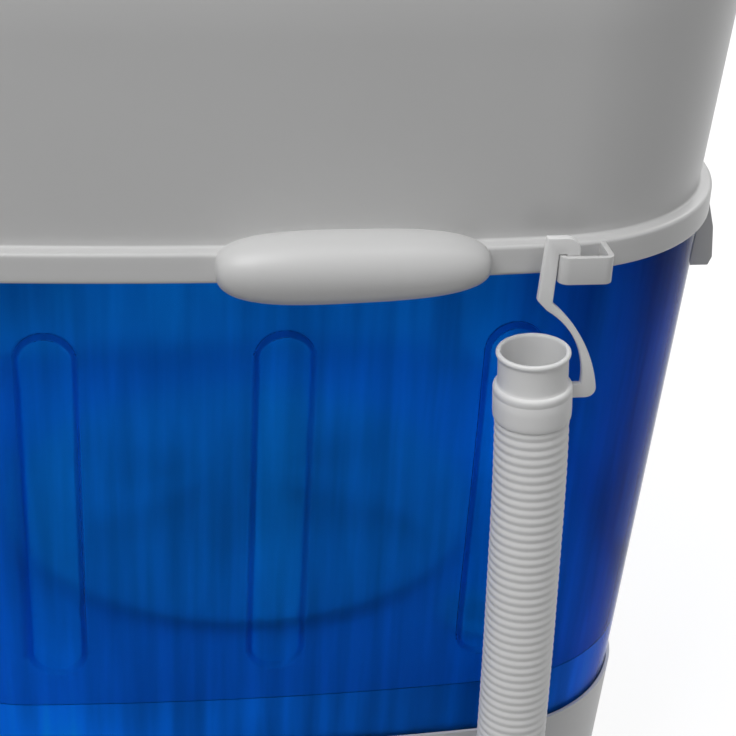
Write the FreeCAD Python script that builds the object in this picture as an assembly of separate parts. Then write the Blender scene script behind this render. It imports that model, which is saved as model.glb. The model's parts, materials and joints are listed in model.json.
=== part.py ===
import FreeCAD, Part
import math
import os

# Small single-tub washing machine. Millimetres, +Z up, origin on the floor under the middle.
# +X is the right-hand side with the drain hose, -Y the front with the controls, +Y the rear.

V = FreeCAD.Vector
UP = V(0, 0, 1)

# Plan outline of the rim: a rounded rectangle with gently bowed sides
RIM_HALF_WIDTH = 185.0
RIM_HALF_DEPTH = 182.0
RIM_BOW_RADIUS = 1345.0
RIM_CORNER_RADIUS = 86.0

# Fits between pieces
SEAT_GAP = 0.3
FIT_GAP = 0.4
RUNNING_GAP = 0.05
OVERCUT = 2.0

# Feet and base
FOOT_HEIGHT = 16.0
FOOT_RADIUS = 17.0
FOOT_INSET = 69.0
FOOT_CHAMFER = 1.5
FOOT_FLARE = 1.0
FOOT_COLLAR = 4.0
PLATE_THICKNESS = 2.5
BASE_BOTTOM_Z = 13.0
BASE_WALL = 3.0
BASE_STEP = 1.8
BASE_LAP = 4.0
BASE_FLANGE_THICKNESS = 3.0
BASE_FLANGE_WIDTH = 11.0
BASE_BOSS_RADIUS = 8.0
BASE_BOSS_HEIGHT = 30.0
BASE_BOSS_Y = 62.0
BASE_BOSS_FROM_WALL = 11.0
BASE_SCREW_RADIUS = 2.0
BASE_SCREW_LENGTH = 18.0
SCREW_HEAD_RADIUS = 4.0
SCREW_HEAD_HEIGHT = 2.4
VENT_COUNT = 7
VENT_PITCH = 12.0
VENT_WIDTH = 4.0
VENT_HEIGHT = 34.0
VENT_Z = 66.0

# Tub
TUB_SEAT_Z = 121.0
TUB_FLOOR_Z = 140.0
TUB_FLOOR_THICKNESS = 4.0
TUB_WALL = 2.6
TUB_INSET = 2.9
TUB_DRAFT = 4.0
FLUTE_PITCH = 84.0
FLUTE_WIDTH = 19.6
FLUTE_DEPTH = 3.5
FLUTE_TOP_DROP = 22.0
FLUTE_LOW_Z = 166.0

# Head: skirt, ledge, flared wall and deck
SKIRT_BOTTOM_Z = 345.0
SKIRT_HEIGHT = 11.6
SKIRT_THICKNESS = 1.8
LEDGE_WIDTH = 5.3
LEDGE_THICKNESS = 3.0
LEDGE_ROUND = 0.9
LEDGE_FALL = 0.3
GASKET_THICKNESS = 1.6
HEAD_FLARE = 4.3
HEAD_WALL = 2.6
DECK_Z = 455.0
DECK_THICKNESS = 3.0
DECK_ROUND = 4.0
ROUND_STEPS = 4

# Loading mouth and lid
MOUTH_Y = 25.0
MOUTH_RADIUS = 118.0
COLLAR_WALL = 2.6
COLLAR_DEPTH = 42.0
COLLAR_FLANGE = 6.0
COAMING_HEIGHT = 5.0
LID_CLEARANCE = 1.6
LID_LIFT = 1.0
LID_WALL = 2.5
LID_DOME = 7.0
LID_EDGE_ROUND = 3.0
LID_SKIRT_CLEAR = 1.5
LID_TAB_WIDTH = 46.0
LID_TAB_REACH = 6.0
BUMPER_ANGLES = (200.0, 340.0, 90.0)
HINGE_X = 42.0
HINGE_REACH = 8.5
HINGE_LIFT = 5.5
HINGE_EYE_RADIUS = 5.0
HINGE_PIN_RADIUS = 2.0
HINGE_EAR_THICKNESS = 4.0
HINGE_LUG_WIDTH = 8.0

# Control panel
PANEL_BACK_Y = -109.0
PANEL_SIDE_INSET = 33.0
PANEL_CORNER = 18.0
PANEL_EDGE_ROUND = 2.0
PANEL_INSET = 7.0
PANEL_FRONT_HEIGHT = 8.0
PANEL_BACK_HEIGHT = 30.0
PANEL_WALL = 2.5
KNOB_X = 62.0
KNOB_RADIUS = 21.0
KNOB_HEIGHT = 9.0
KNOB_GAP = 0.8
GRIP_WIDTH = 9.0
GRIP_HEIGHT = 10.0
POINTER_WIDTH = 2.0
POINTER_LENGTH = 8.0
POINTER_RELIEF = 0.8
SPINDLE_RADIUS = 3.0
SPINDLE_HOLE_GAP = 1.0
SPINDLE_IN_KNOB = 7.0
SPINDLE_IN_UNIT = 12.0
TIMER_WIDTH = 48.0
TIMER_DEPTH = 32.0
TIMER_HEIGHT = 26.0
SWITCH_WIDTH = 34.0
SWITCH_DEPTH = 28.0
SWITCH_HEIGHT = 20.0
UNIT_WINDOW_GAP = 4.0
UNIT_SHIFT = 3.5

# Carry handles: hollow oval grips on the rim
HANDLE_HALF_LENGTH = 49.0
HANDLE_HALF_HEIGHT = 12.7
HANDLE_HALF_DEPTH = 14.5
HANDLE_Y = 22.6
HANDLE_OUT = 1.0
HANDLE_LIFT = 6.0
HANDLE_WALL = 2.8
HANDLE_CUT_DROP = 5.6
HANDLE_SLOT_OUT = 6.0
HANDLE_SLOT_HALF_LENGTH = 36.0

# Hose pocket on the rim and the hook that hangs in it
POCKET_Y = 95.6
POCKET_WIDTH = 20.0
POCKET_REACH = 8.0
POCKET_WALL = 2.2
POCKET_CORNER = 2.4
HOOK_THICKNESS = 6.0
HOOK_GAP = 0.4
STRAP_WIDTH = 4.6
STRAP_DROP = 19.0
STRAP_LEAN = 2.0
STRAP_HEEL_RISE = 1.0
BRIDGE_HEIGHT = 5.4
TONGUE_WIDTH = 5.0
TONGUE_DROP = 7.4
ARM_REACH = 19.2
ARM_DROP = 37.4
ARM_TOP_WIDTH = 3.6
ARM_FOOT_WIDTH = 6.2
ARM_FOOT_HEIGHT = 8.4

# Drain hose hanging beside the tub, with its open end piece
HOSE_OUT = 10.0
HOSE_Y = 87.9
MOUTH_DROP = 24.4
HOSE_LEAN_X = 0.022
HOSE_LEAN_Y = 0.033
LIP_RADIUS = 14.1
LIP_HEIGHT = 2.0
SPIGOT_RADIUS = 13.2
SPIGOT_BORE_RADIUS = 11.9
SPIGOT_HEIGHT = 13.6
CUFF_RADIUS = 15.1
CUFF_HEIGHT = 12.0
HOSE_NECK_RADIUS = 13.0
HOSE_RIB_RADIUS = 14.3
HOSE_BORE_RADIUS = 10.6
HOSE_NECK_REVEAL = 3.4
RIB_COUNT = 52
RIB_PITCH = 3.93
HOSE_FOOT_LENGTH = 14.0
CLAMP_WALL = 1.6
CLAMP_WIDTH = 8.0
CLAMP_EAR = 6.0

# Drain outlet
OUTLET_PIPE_WALL = 2.0
OUTLET_BEND_RADIUS = 17.0
OUTLET_INSERT = 26.0
OUTLET_STOP_THICKNESS = 3.0
OUTLET_FLANGE_RADIUS = 17.0
OUTLET_FLANGE_THICKNESS = 3.0
DRAIN_FROM_SIDE = 77.0
DRAIN_BEND_RADIUS = 22.0
DRAIN_FLANGE_RADIUS = 19.0
DRAIN_FLANGE_THICKNESS = 4.0
STRAINER_RADIUS = 17.0
STRAINER_THICKNESS = 2.5
STRAINER_HOLE_RADIUS = 1.6
STRAINER_HOLE_COUNT = 8

# Pulsator drive under the tub floor
SHAFT_RADIUS = 6.0
SHAFT_BOTTOM_Z = 25.0
BEARING_BOSS_RADIUS = 21.0
BEARING_FLANGE_RADIUS = 46.0
BEARING_FLANGE_THICKNESS = 5.0
BEARING_LENGTH = 66.0
BEARING_BORE_GAP = 1.0
BEARING_NECK_RADIUS = 17.0
BEARING_NECK_HEIGHT = 6.0
BUSH_RADIUS = 11.0
BUSH_LENGTH = 16.0
SEAL_HEIGHT = 5.0
BEARING_SCREW_CIRCLE = 36.0
BEARING_SCREW_RADIUS = 2.5
PULSATOR_RADIUS = 112.0
PULSATOR_THICKNESS = 5.0
PULSATOR_FLOOR_GAP = 3.0
PULSATOR_HUB_RADIUS = 24.0
PULSATOR_HUB_HEIGHT = 26.0
PULSATOR_HUB_SKIRT = 8.0
VANE_COUNT = 6
VANE_HEIGHT = 18.0
VANE_WIDTH = 11.0
CAP_RADIUS = 13.0
CAP_HEIGHT = 4.0
CAP_SLOT_WIDTH = 2.4

# Belt drive and motor
BELT_Z = 36.0
BELT_WIDTH = 10.0
BELT_THICKNESS = 4.0
BELT_GAP = 0.3
PULLEY_RADIUS = 60.0
PULLEY_FLANGE = 4.0
PULLEY_FLANGE_THICKNESS = 1.6
PULLEY_SIDE_GAP = 0.6
PULLEY_RIM = 5.0
PULLEY_WEB = 4.0
PULLEY_WEB_LAP = 1.0
PULLEY_HUB_RADIUS = 15.0
PULLEY_HOLE_RADIUS = 10.0
PULLEY_HOLE_COUNT = 6
NUT_RADIUS = 11.0
NUT_HEIGHT = 5.0
MOTOR_PULLEY_RADIUS = 18.0
MOTOR_FROM_SIDE = 97.0
MOTOR_FROM_FRONT = 110.0
MOTOR_RADIUS = 46.0
MOTOR_HEIGHT = 66.0
MOTOR_CAP_RADIUS = 38.0
MOTOR_CAP_HEIGHT = 10.0
MOTOR_SHAFT_RADIUS = 4.0
MOTOR_SHAFT_BELOW = 3.0
MOTOR_SHAFT_INSIDE = 40.0
BRACKET_Z = 55.0
BRACKET_THICKNESS = 3.0
BRACKET_RADIUS = 62.0
BRACKET_LEG_CIRCLE = 54.0
BRACKET_LEG_RADIUS = 6.0
BRACKET_LEG_ANGLES = (78.0, 180.0, 282.0)
BRACKET_HOLE_RADIUS = 14.0
GROMMET_RADIUS = 10.0
GROMMET_HEIGHT = 8.0
MOTOR_BOLT_RADIUS = 2.5
MOTOR_BOLT_CIRCLE = 30.0
MOTOR_BOLT_INSIDE = 8.0
MOTOR_BOLT_ANGLES = (45.0, 135.0, 225.0, 315.0)
CAPACITOR_FROM_SIDE = 93.0
CAPACITOR_FROM_FRONT = 98.0
CAPACITOR_RADIUS = 17.0
CAPACITOR_HEIGHT = 62.0
TERMINAL_SPREAD = 6.0
TERMINAL_WIDTH = 6.0
TERMINAL_THICKNESS = 1.0
TERMINAL_HEIGHT = 8.0
CLIP_WALL = 1.6
CLIP_HEIGHT = 12.0
CLIP_Z = 40.0
CLIP_FOOT = 14.0

# Wiring inside its conduit, and the mains cord's gland
CONDUIT_INSET = 55.0
CONDUIT_RADIUS = 8.0
CONDUIT_WALL = 1.5
CONDUIT_BELOW = 10.0
HARNESS_RADIUS = 3.0
HARNESS_BEND = 26.0
HARNESS_LOW_Z = 96.0
HARNESS_UNDER_COLLAR = 7.0
HARNESS_SIDE_INSET = 35.0
HARNESS_TURN_INSET = 54.0
GLAND_FROM_SIDE = 115.0
GLAND_Z = 52.0
GLAND_BORE_RADIUS = 3.5
GLAND_NECK_RADIUS = 7.0
GLAND_FLANGE_RADIUS = 10.0
GLAND_FLANGE_THICKNESS = 4.0
GLAND_NECK_LENGTH = 12.0
GLAND_TAPER = 1.5

# Cord-wrap hooks under the skirt at the two rear corners
CORD_HOOK_FROM_SIDE = 87.0
CORD_HOOK_WIDTH = 12.0
CORD_HOOK_REACH = 5.5
CORD_HOOK_DROP = 30.0
CORD_HOOK_WALL = 3.4
CORD_HOOK_SLOPE_DROP = 14.0
CORD_HOOK_LIP = 8.0
CORD_HOOK_BEND = 1.0

# Levels and slopes worked out from the sizes above
LEDGE_Z = SKIRT_BOTTOM_Z + SKIRT_HEIGHT
LEDGE_UNDER_Z = LEDGE_Z - LEDGE_THICKNESS
TUB_TOP_Z = LEDGE_UNDER_Z - GASKET_THICKNESS
FLOOR_TOP_Z = TUB_FLOOR_Z + TUB_FLOOR_THICKNESS
DECK_UNDER_Z = DECK_Z - DECK_THICKNESS
COLLAR_FOOT_Z = DECK_Z - COLLAR_DEPTH
HARNESS_HIGH_Z = COLLAR_FOOT_Z - HARNESS_UNDER_COLLAR
PLATE_TOP_Z = FOOT_HEIGHT + PLATE_THICKNESS
BASE_TOP_Z = TUB_SEAT_Z + BASE_LAP
TUB_SLOPE = math.tan(math.radians(TUB_DRAFT))
FLARE_SLOPE = math.tan(math.radians(HEAD_FLARE))

# Places kept at a set distance from the sides, front or rear
FOOT_X = RIM_HALF_WIDTH - FOOT_INSET
FOOT_Y = RIM_HALF_DEPTH - FOOT_INSET
PANEL_HALF_WIDTH = RIM_HALF_WIDTH - PANEL_SIDE_INSET
POCKET_FRONT_X = RIM_HALF_WIDTH + POCKET_REACH
HOSE_X = RIM_HALF_WIDTH + HOSE_OUT
DRAIN_X = RIM_HALF_WIDTH - DRAIN_FROM_SIDE
MOTOR_X = MOTOR_FROM_SIDE - RIM_HALF_WIDTH
MOTOR_Y = MOTOR_FROM_FRONT - RIM_HALF_DEPTH
CAPACITOR_X = RIM_HALF_WIDTH - CAPACITOR_FROM_SIDE
CAPACITOR_Y = CAPACITOR_FROM_FRONT - RIM_HALF_DEPTH
CONDUIT_X = CONDUIT_INSET - RIM_HALF_WIDTH
CONDUIT_Y = RIM_HALF_DEPTH - CONDUIT_INSET
HARNESS_SIDE_X = HARNESS_SIDE_INSET - RIM_HALF_WIDTH
HARNESS_TURN_Y = HARNESS_TURN_INSET - RIM_HALF_DEPTH
GLAND_X = GLAND_FROM_SIDE - RIM_HALF_WIDTH
CORD_HOOK_X = RIM_HALF_WIDTH - CORD_HOOK_FROM_SIDE


def tub_inset(z):
    return TUB_INSET + (SKIRT_BOTTOM_Z - z) * TUB_SLOPE


def head_inset(z):
    return LEDGE_WIDTH - (z - LEDGE_Z) * FLARE_SLOPE


# Outline helpers

def corner_centre():
    side = V(RIM_HALF_WIDTH - RIM_BOW_RADIUS, 0, 0)
    back = V(0, RIM_HALF_DEPTH - RIM_BOW_RADIUS, 0)
    middle = (side + back) * 0.5
    half = back.sub(side).Length / 2.0
    reach = RIM_BOW_RADIUS - RIM_CORNER_RADIUS
    across = back.sub(side).normalize()
    outward = V(-across.y, across.x, 0)
    return middle + outward * math.sqrt(reach ** 2 - half ** 2), side, back


def outline(inset, z):
    """Closed wire parallel to the rim's edge, inset inside it, at height z."""
    corner, side, back = corner_centre()
    bow = RIM_BOW_RADIUS - inset
    side_way = corner.sub(side).normalize()
    back_way = corner.sub(back).normalize()
    side_end = side + side_way * bow
    back_end = back + back_way * bow
    tip_way = (side_way + back_way).normalize()
    tip = corner + tip_way * (RIM_CORNER_RADIUS - inset)
    side_mid = V(RIM_HALF_WIDTH - inset, 0, 0)
    back_mid = V(0, RIM_HALF_DEPTH - inset, 0)

    def at(point, sx, sy):
        return V(point.x * sx, point.y * sy, z)

    arcs = [
        (at(side_end, 1, -1), at(side_mid, 1, 1), at(side_end, 1, 1)),
        (at(side_end, 1, 1), at(tip, 1, 1), at(back_end, 1, 1)),
        (at(back_end, 1, 1), at(back_mid, 1, 1), at(back_end, -1, 1)),
        (at(back_end, -1, 1), at(tip, -1, 1), at(side_end, -1, 1)),
        (at(side_end, -1, 1), at(side_mid, -1, 1), at(side_end, -1, -1)),
        (at(side_end, -1, -1), at(tip, -1, -1), at(back_end, -1, -1)),
        (at(back_end, -1, -1), at(back_mid, 1, -1), at(back_end, 1, -1)),
        (at(back_end, 1, -1), at(tip, 1, -1), at(side_end, 1, -1)),
    ]
    return Part.Wire([Part.Arc(*points).toShape() for points in arcs])


def outline_solid(sections):
    """Solid through outlines given as (inset, height) pairs, low to high."""
    return Part.makeLoft([outline(inset, z) for inset, z in sections], True, True)


def tub_solid(offset, low, high):
    return outline_solid([(tub_inset(low) + offset, low), (tub_inset(high) + offset, high)])


def quarter(centre, radius, start, end):
    """Points (inset, height) of a rounded edge from one angle to another, in degrees."""
    points = []
    for step in range(ROUND_STEPS + 1):
        angle = math.radians(start + (end - start) * step / ROUND_STEPS)
        points.append((centre[0] + radius * math.cos(angle), centre[1] + radius * math.sin(angle)))
    return points


def head_profile(grow):
    """Outer profile of the head from the skirt's foot to the deck, grown outwards."""
    edge = LEDGE_ROUND
    top_inset = head_inset(DECK_Z)
    points = quarter((edge, SKIRT_BOTTOM_Z + edge), edge, 270, 180)
    points += quarter((edge, LEDGE_Z - LEDGE_FALL - edge), edge, 180, 90)
    points += quarter((LEDGE_WIDTH - edge, LEDGE_Z + edge), edge, 270, 360)
    points += quarter((top_inset + DECK_ROUND, DECK_Z - DECK_ROUND), DECK_ROUND, 180, 90)
    return [(inset - grow, z) for inset, z in points]


def head_envelope(grow):
    return outline_solid(head_profile(grow))


# Plain solids

def rod(radius, low, high, x=0.0, y=0.0):
    return Part.makeCylinder(radius, high - low, V(x, y, low), UP)


def tube(outer, inner, low, high, x=0.0, y=0.0):
    return rod(outer, low, high, x, y).cut(rod(inner, low - OVERCUT, high + OVERCUT, x, y))


def block(x0, x1, y0, y1, z0, z1):
    return Part.makeBox(x1 - x0, y1 - y0, z1 - z0, V(x0, y0, z0))


def revolved(profile):
    """Solid of revolution about Z of a closed (radius, height) outline."""
    points = [V(r, 0, z) for r, z in profile]
    face = Part.Face(Part.makePolygon(points + points[:1]))
    return face.revolve(V(0, 0, 0), UP, 360)


def prism(points, axis_vector):
    face = Part.Face(Part.makePolygon(points + points[:1]))
    return face.extrude(axis_vector)


def framed(shape, origin, x_way, y_way, z_way):
    """The shape moved from its own axes to the given ones."""
    matrix = FreeCAD.Matrix(
        x_way.x, y_way.x, z_way.x, origin.x,
        x_way.y, y_way.y, z_way.y, origin.y,
        x_way.z, y_way.z, z_way.z, origin.z,
        0, 0, 0, 1)
    moved = shape.copy()
    moved.Placement = FreeCAD.Placement(matrix).multiply(shape.Placement)
    return moved


def mirrored_x(shape):
    return shape.mirror(V(0, 0, 0), V(1, 0, 0))


def ring_points(radius, angles, x=0.0, y=0.0):
    return [(x + radius * math.cos(math.radians(a)), y + radius * math.sin(math.radians(a))) for a in angles]


def even_angles(count, start=0.0):
    return [start + 360.0 * index / count for index in range(count)]


def pipe_path(points, radius):
    """Wire of straight runs joined by tangent arcs of one radius."""
    edges = []
    start = points[0]
    for before, corner, after in zip(points, points[1:], points[2:]):
        back = before.sub(corner).normalize()
        on = after.sub(corner).normalize()
        half = back.getAngle(on) / 2.0
        reach = radius / math.tan(half)
        bisector = (back + on).normalize()
        middle = corner + bisector * (radius / math.sin(half) - radius)
        enter = corner + back * reach
        leave = corner + on * reach
        edges.append(Part.LineSegment(start, enter).toShape())
        edges.append(Part.Arc(enter, middle, leave).toShape())
        start = leave
    edges.append(Part.LineSegment(start, points[-1]).toShape())
    return Part.Wire(edges)


def swept(path, radius):
    first = path.Edges[0]
    way = first.tangentAt(first.FirstParameter)
    circle = Part.Wire(Part.makeCircle(radius, first.valueAt(first.FirstParameter), way))
    return path.makePipeShell([circle], True, False)


# Tub with its moulded flutes

def face_frames():
    """Outward way, tangent and half size of the four sides."""
    return [
        (V(1, 0, 0), V(0, 1, 0), RIM_HALF_WIDTH),
        (V(-1, 0, 0), V(0, -1, 0), RIM_HALF_WIDTH),
        (V(0, 1, 0), V(-1, 0, 0), RIM_HALF_DEPTH),
        (V(0, -1, 0), V(1, 0, 0), RIM_HALF_DEPTH),
    ]


def flute_slot(side, offset, width, out, depth):
    """Round-ended slot standing on the sloped wall, from out proud to depth deep."""
    normal, tangent, half = side
    draft = math.radians(TUB_DRAFT)
    along = normal * math.sin(draft) + UP * math.cos(draft)
    facing = normal * math.cos(draft) - UP * math.sin(draft)
    bow = RIM_BOW_RADIUS - math.sqrt(RIM_BOW_RADIUS ** 2 - offset ** 2)
    low = FLUTE_LOW_Z
    origin = normal * (half - bow - tub_inset(low)) + tangent * offset + UP * low
    end = FLUTE_WIDTH / 2.0
    length = (SKIRT_BOTTOM_Z - FLUTE_TOP_DROP - low) / math.cos(draft)
    radius = width / 2.0
    base = -depth
    slot = Part.makeBox(width, length - 2 * end, depth + out, V(-radius, end, base))
    slot = slot.fuse(Part.makeCylinder(radius, depth + out, V(0, end, base), UP))
    slot = slot.fuse(Part.makeCylinder(radius, depth + out, V(0, length - end, base), UP))
    return framed(slot.removeSplitter(), origin, tangent, along, facing)


def make_tub():
    shell = tub_solid(0.0, TUB_SEAT_Z, TUB_TOP_Z)
    shell = shell.cut(tub_solid(TUB_WALL, FLOOR_TOP_Z, TUB_TOP_Z + OVERCUT))
    shell = shell.cut(tub_solid(TUB_WALL, TUB_SEAT_Z - OVERCUT, TUB_FLOOR_Z))
    ribs = []
    slots = []
    for side in face_frames():
        for offset in (-FLUTE_PITCH, 0.0, FLUTE_PITCH):
            ribs.append(flute_slot(side, offset, FLUTE_WIDTH + 2 * TUB_WALL, -TUB_WALL / 2.0,
                                   FLUTE_DEPTH + TUB_WALL))
            slots.append(flute_slot(side, offset, FLUTE_WIDTH, 2 * OVERCUT, FLUTE_DEPTH))
    shell = shell.fuse(ribs).cut(slots)
    shell = shell.cut(rod(BEARING_NECK_RADIUS + SEAT_GAP, TUB_FLOOR_Z - OVERCUT, FLOOR_TOP_Z + OVERCUT))
    drain = outlet_corner()
    shell = shell.cut(rod(HOSE_BORE_RADIUS, TUB_FLOOR_Z - OVERCUT, FLOOR_TOP_Z + OVERCUT, DRAIN_X, drain.y))
    shell = shell.cut(rod(CONDUIT_RADIUS + SEAT_GAP, TUB_FLOOR_Z - OVERCUT, FLOOR_TOP_Z + OVERCUT,
                          CONDUIT_X, CONDUIT_Y))
    for x, y in ring_points(BEARING_SCREW_CIRCLE, even_angles(4, 45.0)):
        shell = shell.cut(rod(BEARING_SCREW_RADIUS, TUB_FLOOR_Z - OVERCUT, FLOOR_TOP_Z + OVERCUT, x, y))
    return shell.removeSplitter()


def make_rim_gasket():
    ring = outline_solid([(tub_inset(TUB_TOP_Z), TUB_TOP_Z), (tub_inset(TUB_TOP_Z), LEDGE_UNDER_Z)])
    inner = tub_inset(TUB_TOP_Z) + TUB_WALL
    return ring.cut(outline_solid([(inner, TUB_TOP_Z - OVERCUT), (inner, LEDGE_UNDER_Z + OVERCUT)]))


# Head housing with its hinge ears, and the mouth collar

def hinge_axis():
    lid_radius = MOUTH_RADIUS + COLLAR_WALL + LID_CLEARANCE + LID_WALL
    return MOUTH_Y + lid_radius + HINGE_REACH, DECK_Z + HINGE_LIFT


def hinge_ears():
    y, z = hinge_axis()
    ears = []
    for side in (-1, 1):
        for edge in (-1, 1):
            middle = side * HINGE_X + edge * (HINGE_LUG_WIDTH + HINGE_EAR_THICKNESS) / 2.0
            x0 = middle - HINGE_EAR_THICKNESS / 2.0
            eye = Part.makeCylinder(HINGE_EYE_RADIUS, HINGE_EAR_THICKNESS, V(x0, y, z), V(1, 0, 0))
            stem = block(x0, x0 + HINGE_EAR_THICKNESS, y - HINGE_EYE_RADIUS, y + HINGE_EYE_RADIUS,
                         DECK_UNDER_Z, z)
            ears.append(eye.fuse(stem))
    return ears


def pin_span():
    return HINGE_LUG_WIDTH + 2 * HINGE_EAR_THICKNESS


def make_lid_hinge_pins():
    y, z = hinge_axis()
    pins = []
    for side in (-1, 1):
        x0 = side * HINGE_X - pin_span() / 2.0
        pins.append(Part.makeCylinder(HINGE_PIN_RADIUS, pin_span(), V(x0, y, z), V(1, 0, 0)))
    return Part.makeCompound(pins)


def panel_frame():
    """Origin and axes of the sloped panel: across, up the slope and out of it."""
    front = RIM_HALF_DEPTH - head_inset(DECK_Z) - PANEL_INSET
    depth = PANEL_BACK_Y + front
    rise = PANEL_BACK_HEIGHT - PANEL_FRONT_HEIGHT
    slope = math.atan2(rise, depth)
    origin = V(0, PANEL_BACK_Y - depth / 2.0, DECK_Z + (PANEL_FRONT_HEIGHT + PANEL_BACK_HEIGHT) / 2.0)
    return origin, V(1, 0, 0), V(0, math.cos(slope), math.sin(slope)), V(0, -math.sin(slope), math.cos(slope))


def on_panel(shape, x):
    origin, across, up_slope, out = panel_frame()
    return framed(shape, origin + across * x, across, up_slope, out)


def unit_window():
    half = KNOB_X + TIMER_WIDTH / 2.0 + UNIT_WINDOW_GAP
    back = PANEL_BACK_Y - PANEL_WALL - SEAT_GAP
    front = PANEL_INSET + PANEL_WALL + SEAT_GAP - (RIM_HALF_DEPTH - head_inset(DECK_Z))
    return block(-half, half, front, back, DECK_UNDER_Z - OVERCUT, DECK_Z + OVERCUT)


def make_head_housing():
    inner_foot = LEDGE_WIDTH + HEAD_WALL
    inner_top = head_inset(DECK_UNDER_Z) + HEAD_WALL
    under_ledge = outline_solid([
        (SKIRT_THICKNESS, SKIRT_BOTTOM_Z - OVERCUT), (SKIRT_THICKNESS, LEDGE_UNDER_Z)])
    cavity = outline_solid([
        (inner_foot, LEDGE_UNDER_Z - OVERCUT), (inner_foot, LEDGE_Z), (inner_top, DECK_UNDER_Z)])
    shell = head_envelope(0.0).cut([under_ledge, cavity])
    seat = rod(MOUTH_RADIUS + COLLAR_WALL + SEAT_GAP, DECK_UNDER_Z - OVERCUT, DECK_Z + OVERCUT, 0, MOUTH_Y)
    shell = shell.fuse(hinge_ears()).cut([seat, unit_window()])
    y, z = hinge_axis()
    reach = HINGE_X + pin_span()
    shell = shell.cut(Part.makeCylinder(HINGE_PIN_RADIUS, 2 * reach, V(-reach, y, z), V(1, 0, 0)))
    return shell.removeSplitter()


def make_mouth_collar():
    """Ring pushed up through the deck's hole, with a flange under the deck."""
    high = DECK_Z + COAMING_HEIGHT
    outer = MOUTH_RADIUS + COLLAR_WALL
    flange_top = DECK_UNDER_Z - SEAT_GAP
    ring = rod(outer, COLLAR_FOOT_Z, high, 0, MOUTH_Y)
    flange = rod(outer + COLLAR_FLANGE, flange_top - COLLAR_WALL, flange_top, 0, MOUTH_Y)
    return ring.fuse(flange).cut(rod(MOUTH_RADIUS, COLLAR_FOOT_Z - OVERCUT, high + OVERCUT, 0, MOUTH_Y))


# Lid

def dome_arc(radius, low, rise):
    """Arc from the axis out to a radius, centred on the axis so that it turns into part of a ball."""
    ball = (radius ** 2 + rise ** 2) / (2 * rise)
    centre = low + rise - ball
    mid = radius / 2.0
    return Part.Arc(V(0, 0, low + rise), V(mid, 0, centre + math.sqrt(ball ** 2 - mid ** 2)), V(radius, 0, low))


def make_lid():
    radius = MOUTH_RADIUS + COLLAR_WALL + LID_CLEARANCE + LID_WALL
    under = DECK_Z + COAMING_HEIGHT + LID_LIFT
    foot = DECK_Z + LID_SKIRT_CLEAR
    edge_top = under + LID_WALL
    inside = radius - LID_WALL
    shoulder = radius - LID_EDGE_ROUND
    corner = LID_EDGE_ROUND * (1.0 - math.sqrt(0.5))

    def p(r, z):
        return V(r, 0, z)

    edges = [
        dome_arc(shoulder, edge_top, LID_DOME).toShape(),
        Part.Arc(p(shoulder, edge_top), p(radius - corner, edge_top - corner),
                 p(radius, edge_top - LID_EDGE_ROUND)).toShape(),
        Part.LineSegment(p(radius, edge_top - LID_EDGE_ROUND), p(radius, foot)).toShape(),
        Part.LineSegment(p(radius, foot), p(inside, foot)).toShape(),
        Part.LineSegment(p(inside, foot), p(inside, under)).toShape(),
        Part.LineSegment(p(inside, under), p(shoulder - LID_WALL, under)).toShape(),
        dome_arc(shoulder - LID_WALL, under, LID_DOME).toShape(),
        Part.LineSegment(p(0, under + LID_DOME), p(0, edge_top + LID_DOME)).toShape(),
    ]
    cap = Part.Face(Part.Wire(Part.sortEdges(edges)[0])).revolve(V(0, 0, 0), UP, 360)
    cap.translate(V(0, MOUTH_Y, 0))
    half = LID_TAB_WIDTH / 2.0
    front = MOUTH_Y - radius
    tab = block(-half, half, front - LID_TAB_REACH, front + LID_EDGE_ROUND, edge_top - 2 * LID_WALL,
                edge_top - LID_WALL)
    tab = tab.makeFillet(LID_TAB_REACH * 0.6, [e for e in tab.Edges if is_upright(e, front)])
    y, z = hinge_axis()
    lugs = []
    for side in (-1, 1):
        width = HINGE_LUG_WIDTH - 2 * FIT_GAP
        x0 = side * HINGE_X - width / 2.0
        eye = Part.makeCylinder(HINGE_EYE_RADIUS, width, V(x0, y, z), V(1, 0, 0))
        rear = MOUTH_Y + math.sqrt(radius ** 2 - HINGE_X ** 2)
        arm = block(x0, x0 + width, rear - LID_WALL, y, z - LID_WALL, edge_top - LID_EDGE_ROUND)
        lugs.append(eye.fuse(arm))
    lid = cap.fuse([tab] + lugs)
    hole = HINGE_PIN_RADIUS + RUNNING_GAP
    reach = HINGE_X + pin_span()
    lid = lid.cut(Part.makeCylinder(hole, 2 * reach, V(-reach, y, z), V(1, 0, 0)))
    return lid.removeSplitter()


def is_upright(edge, front):
    """True for the tab's two free vertical edges."""
    ends = [vertex.Point for vertex in edge.Vertexes]
    same_place = abs(ends[0].x - ends[1].x) < 0.01 and abs(ends[0].y - ends[1].y) < 0.01
    return same_place and ends[0].y < front


def make_lid_bumpers():
    middle = MOUTH_RADIUS + COLLAR_WALL / 2.0
    low = DECK_Z + COAMING_HEIGHT
    pads = []
    for x, y in ring_points(middle, BUMPER_ANGLES, 0, MOUTH_Y):
        pads.append(rod(COLLAR_WALL / 2.0, low, low + LID_LIFT - SEAT_GAP, x, y))
    return Part.makeCompound(pads)


# Control panel with its knobs, timer and switch

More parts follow.
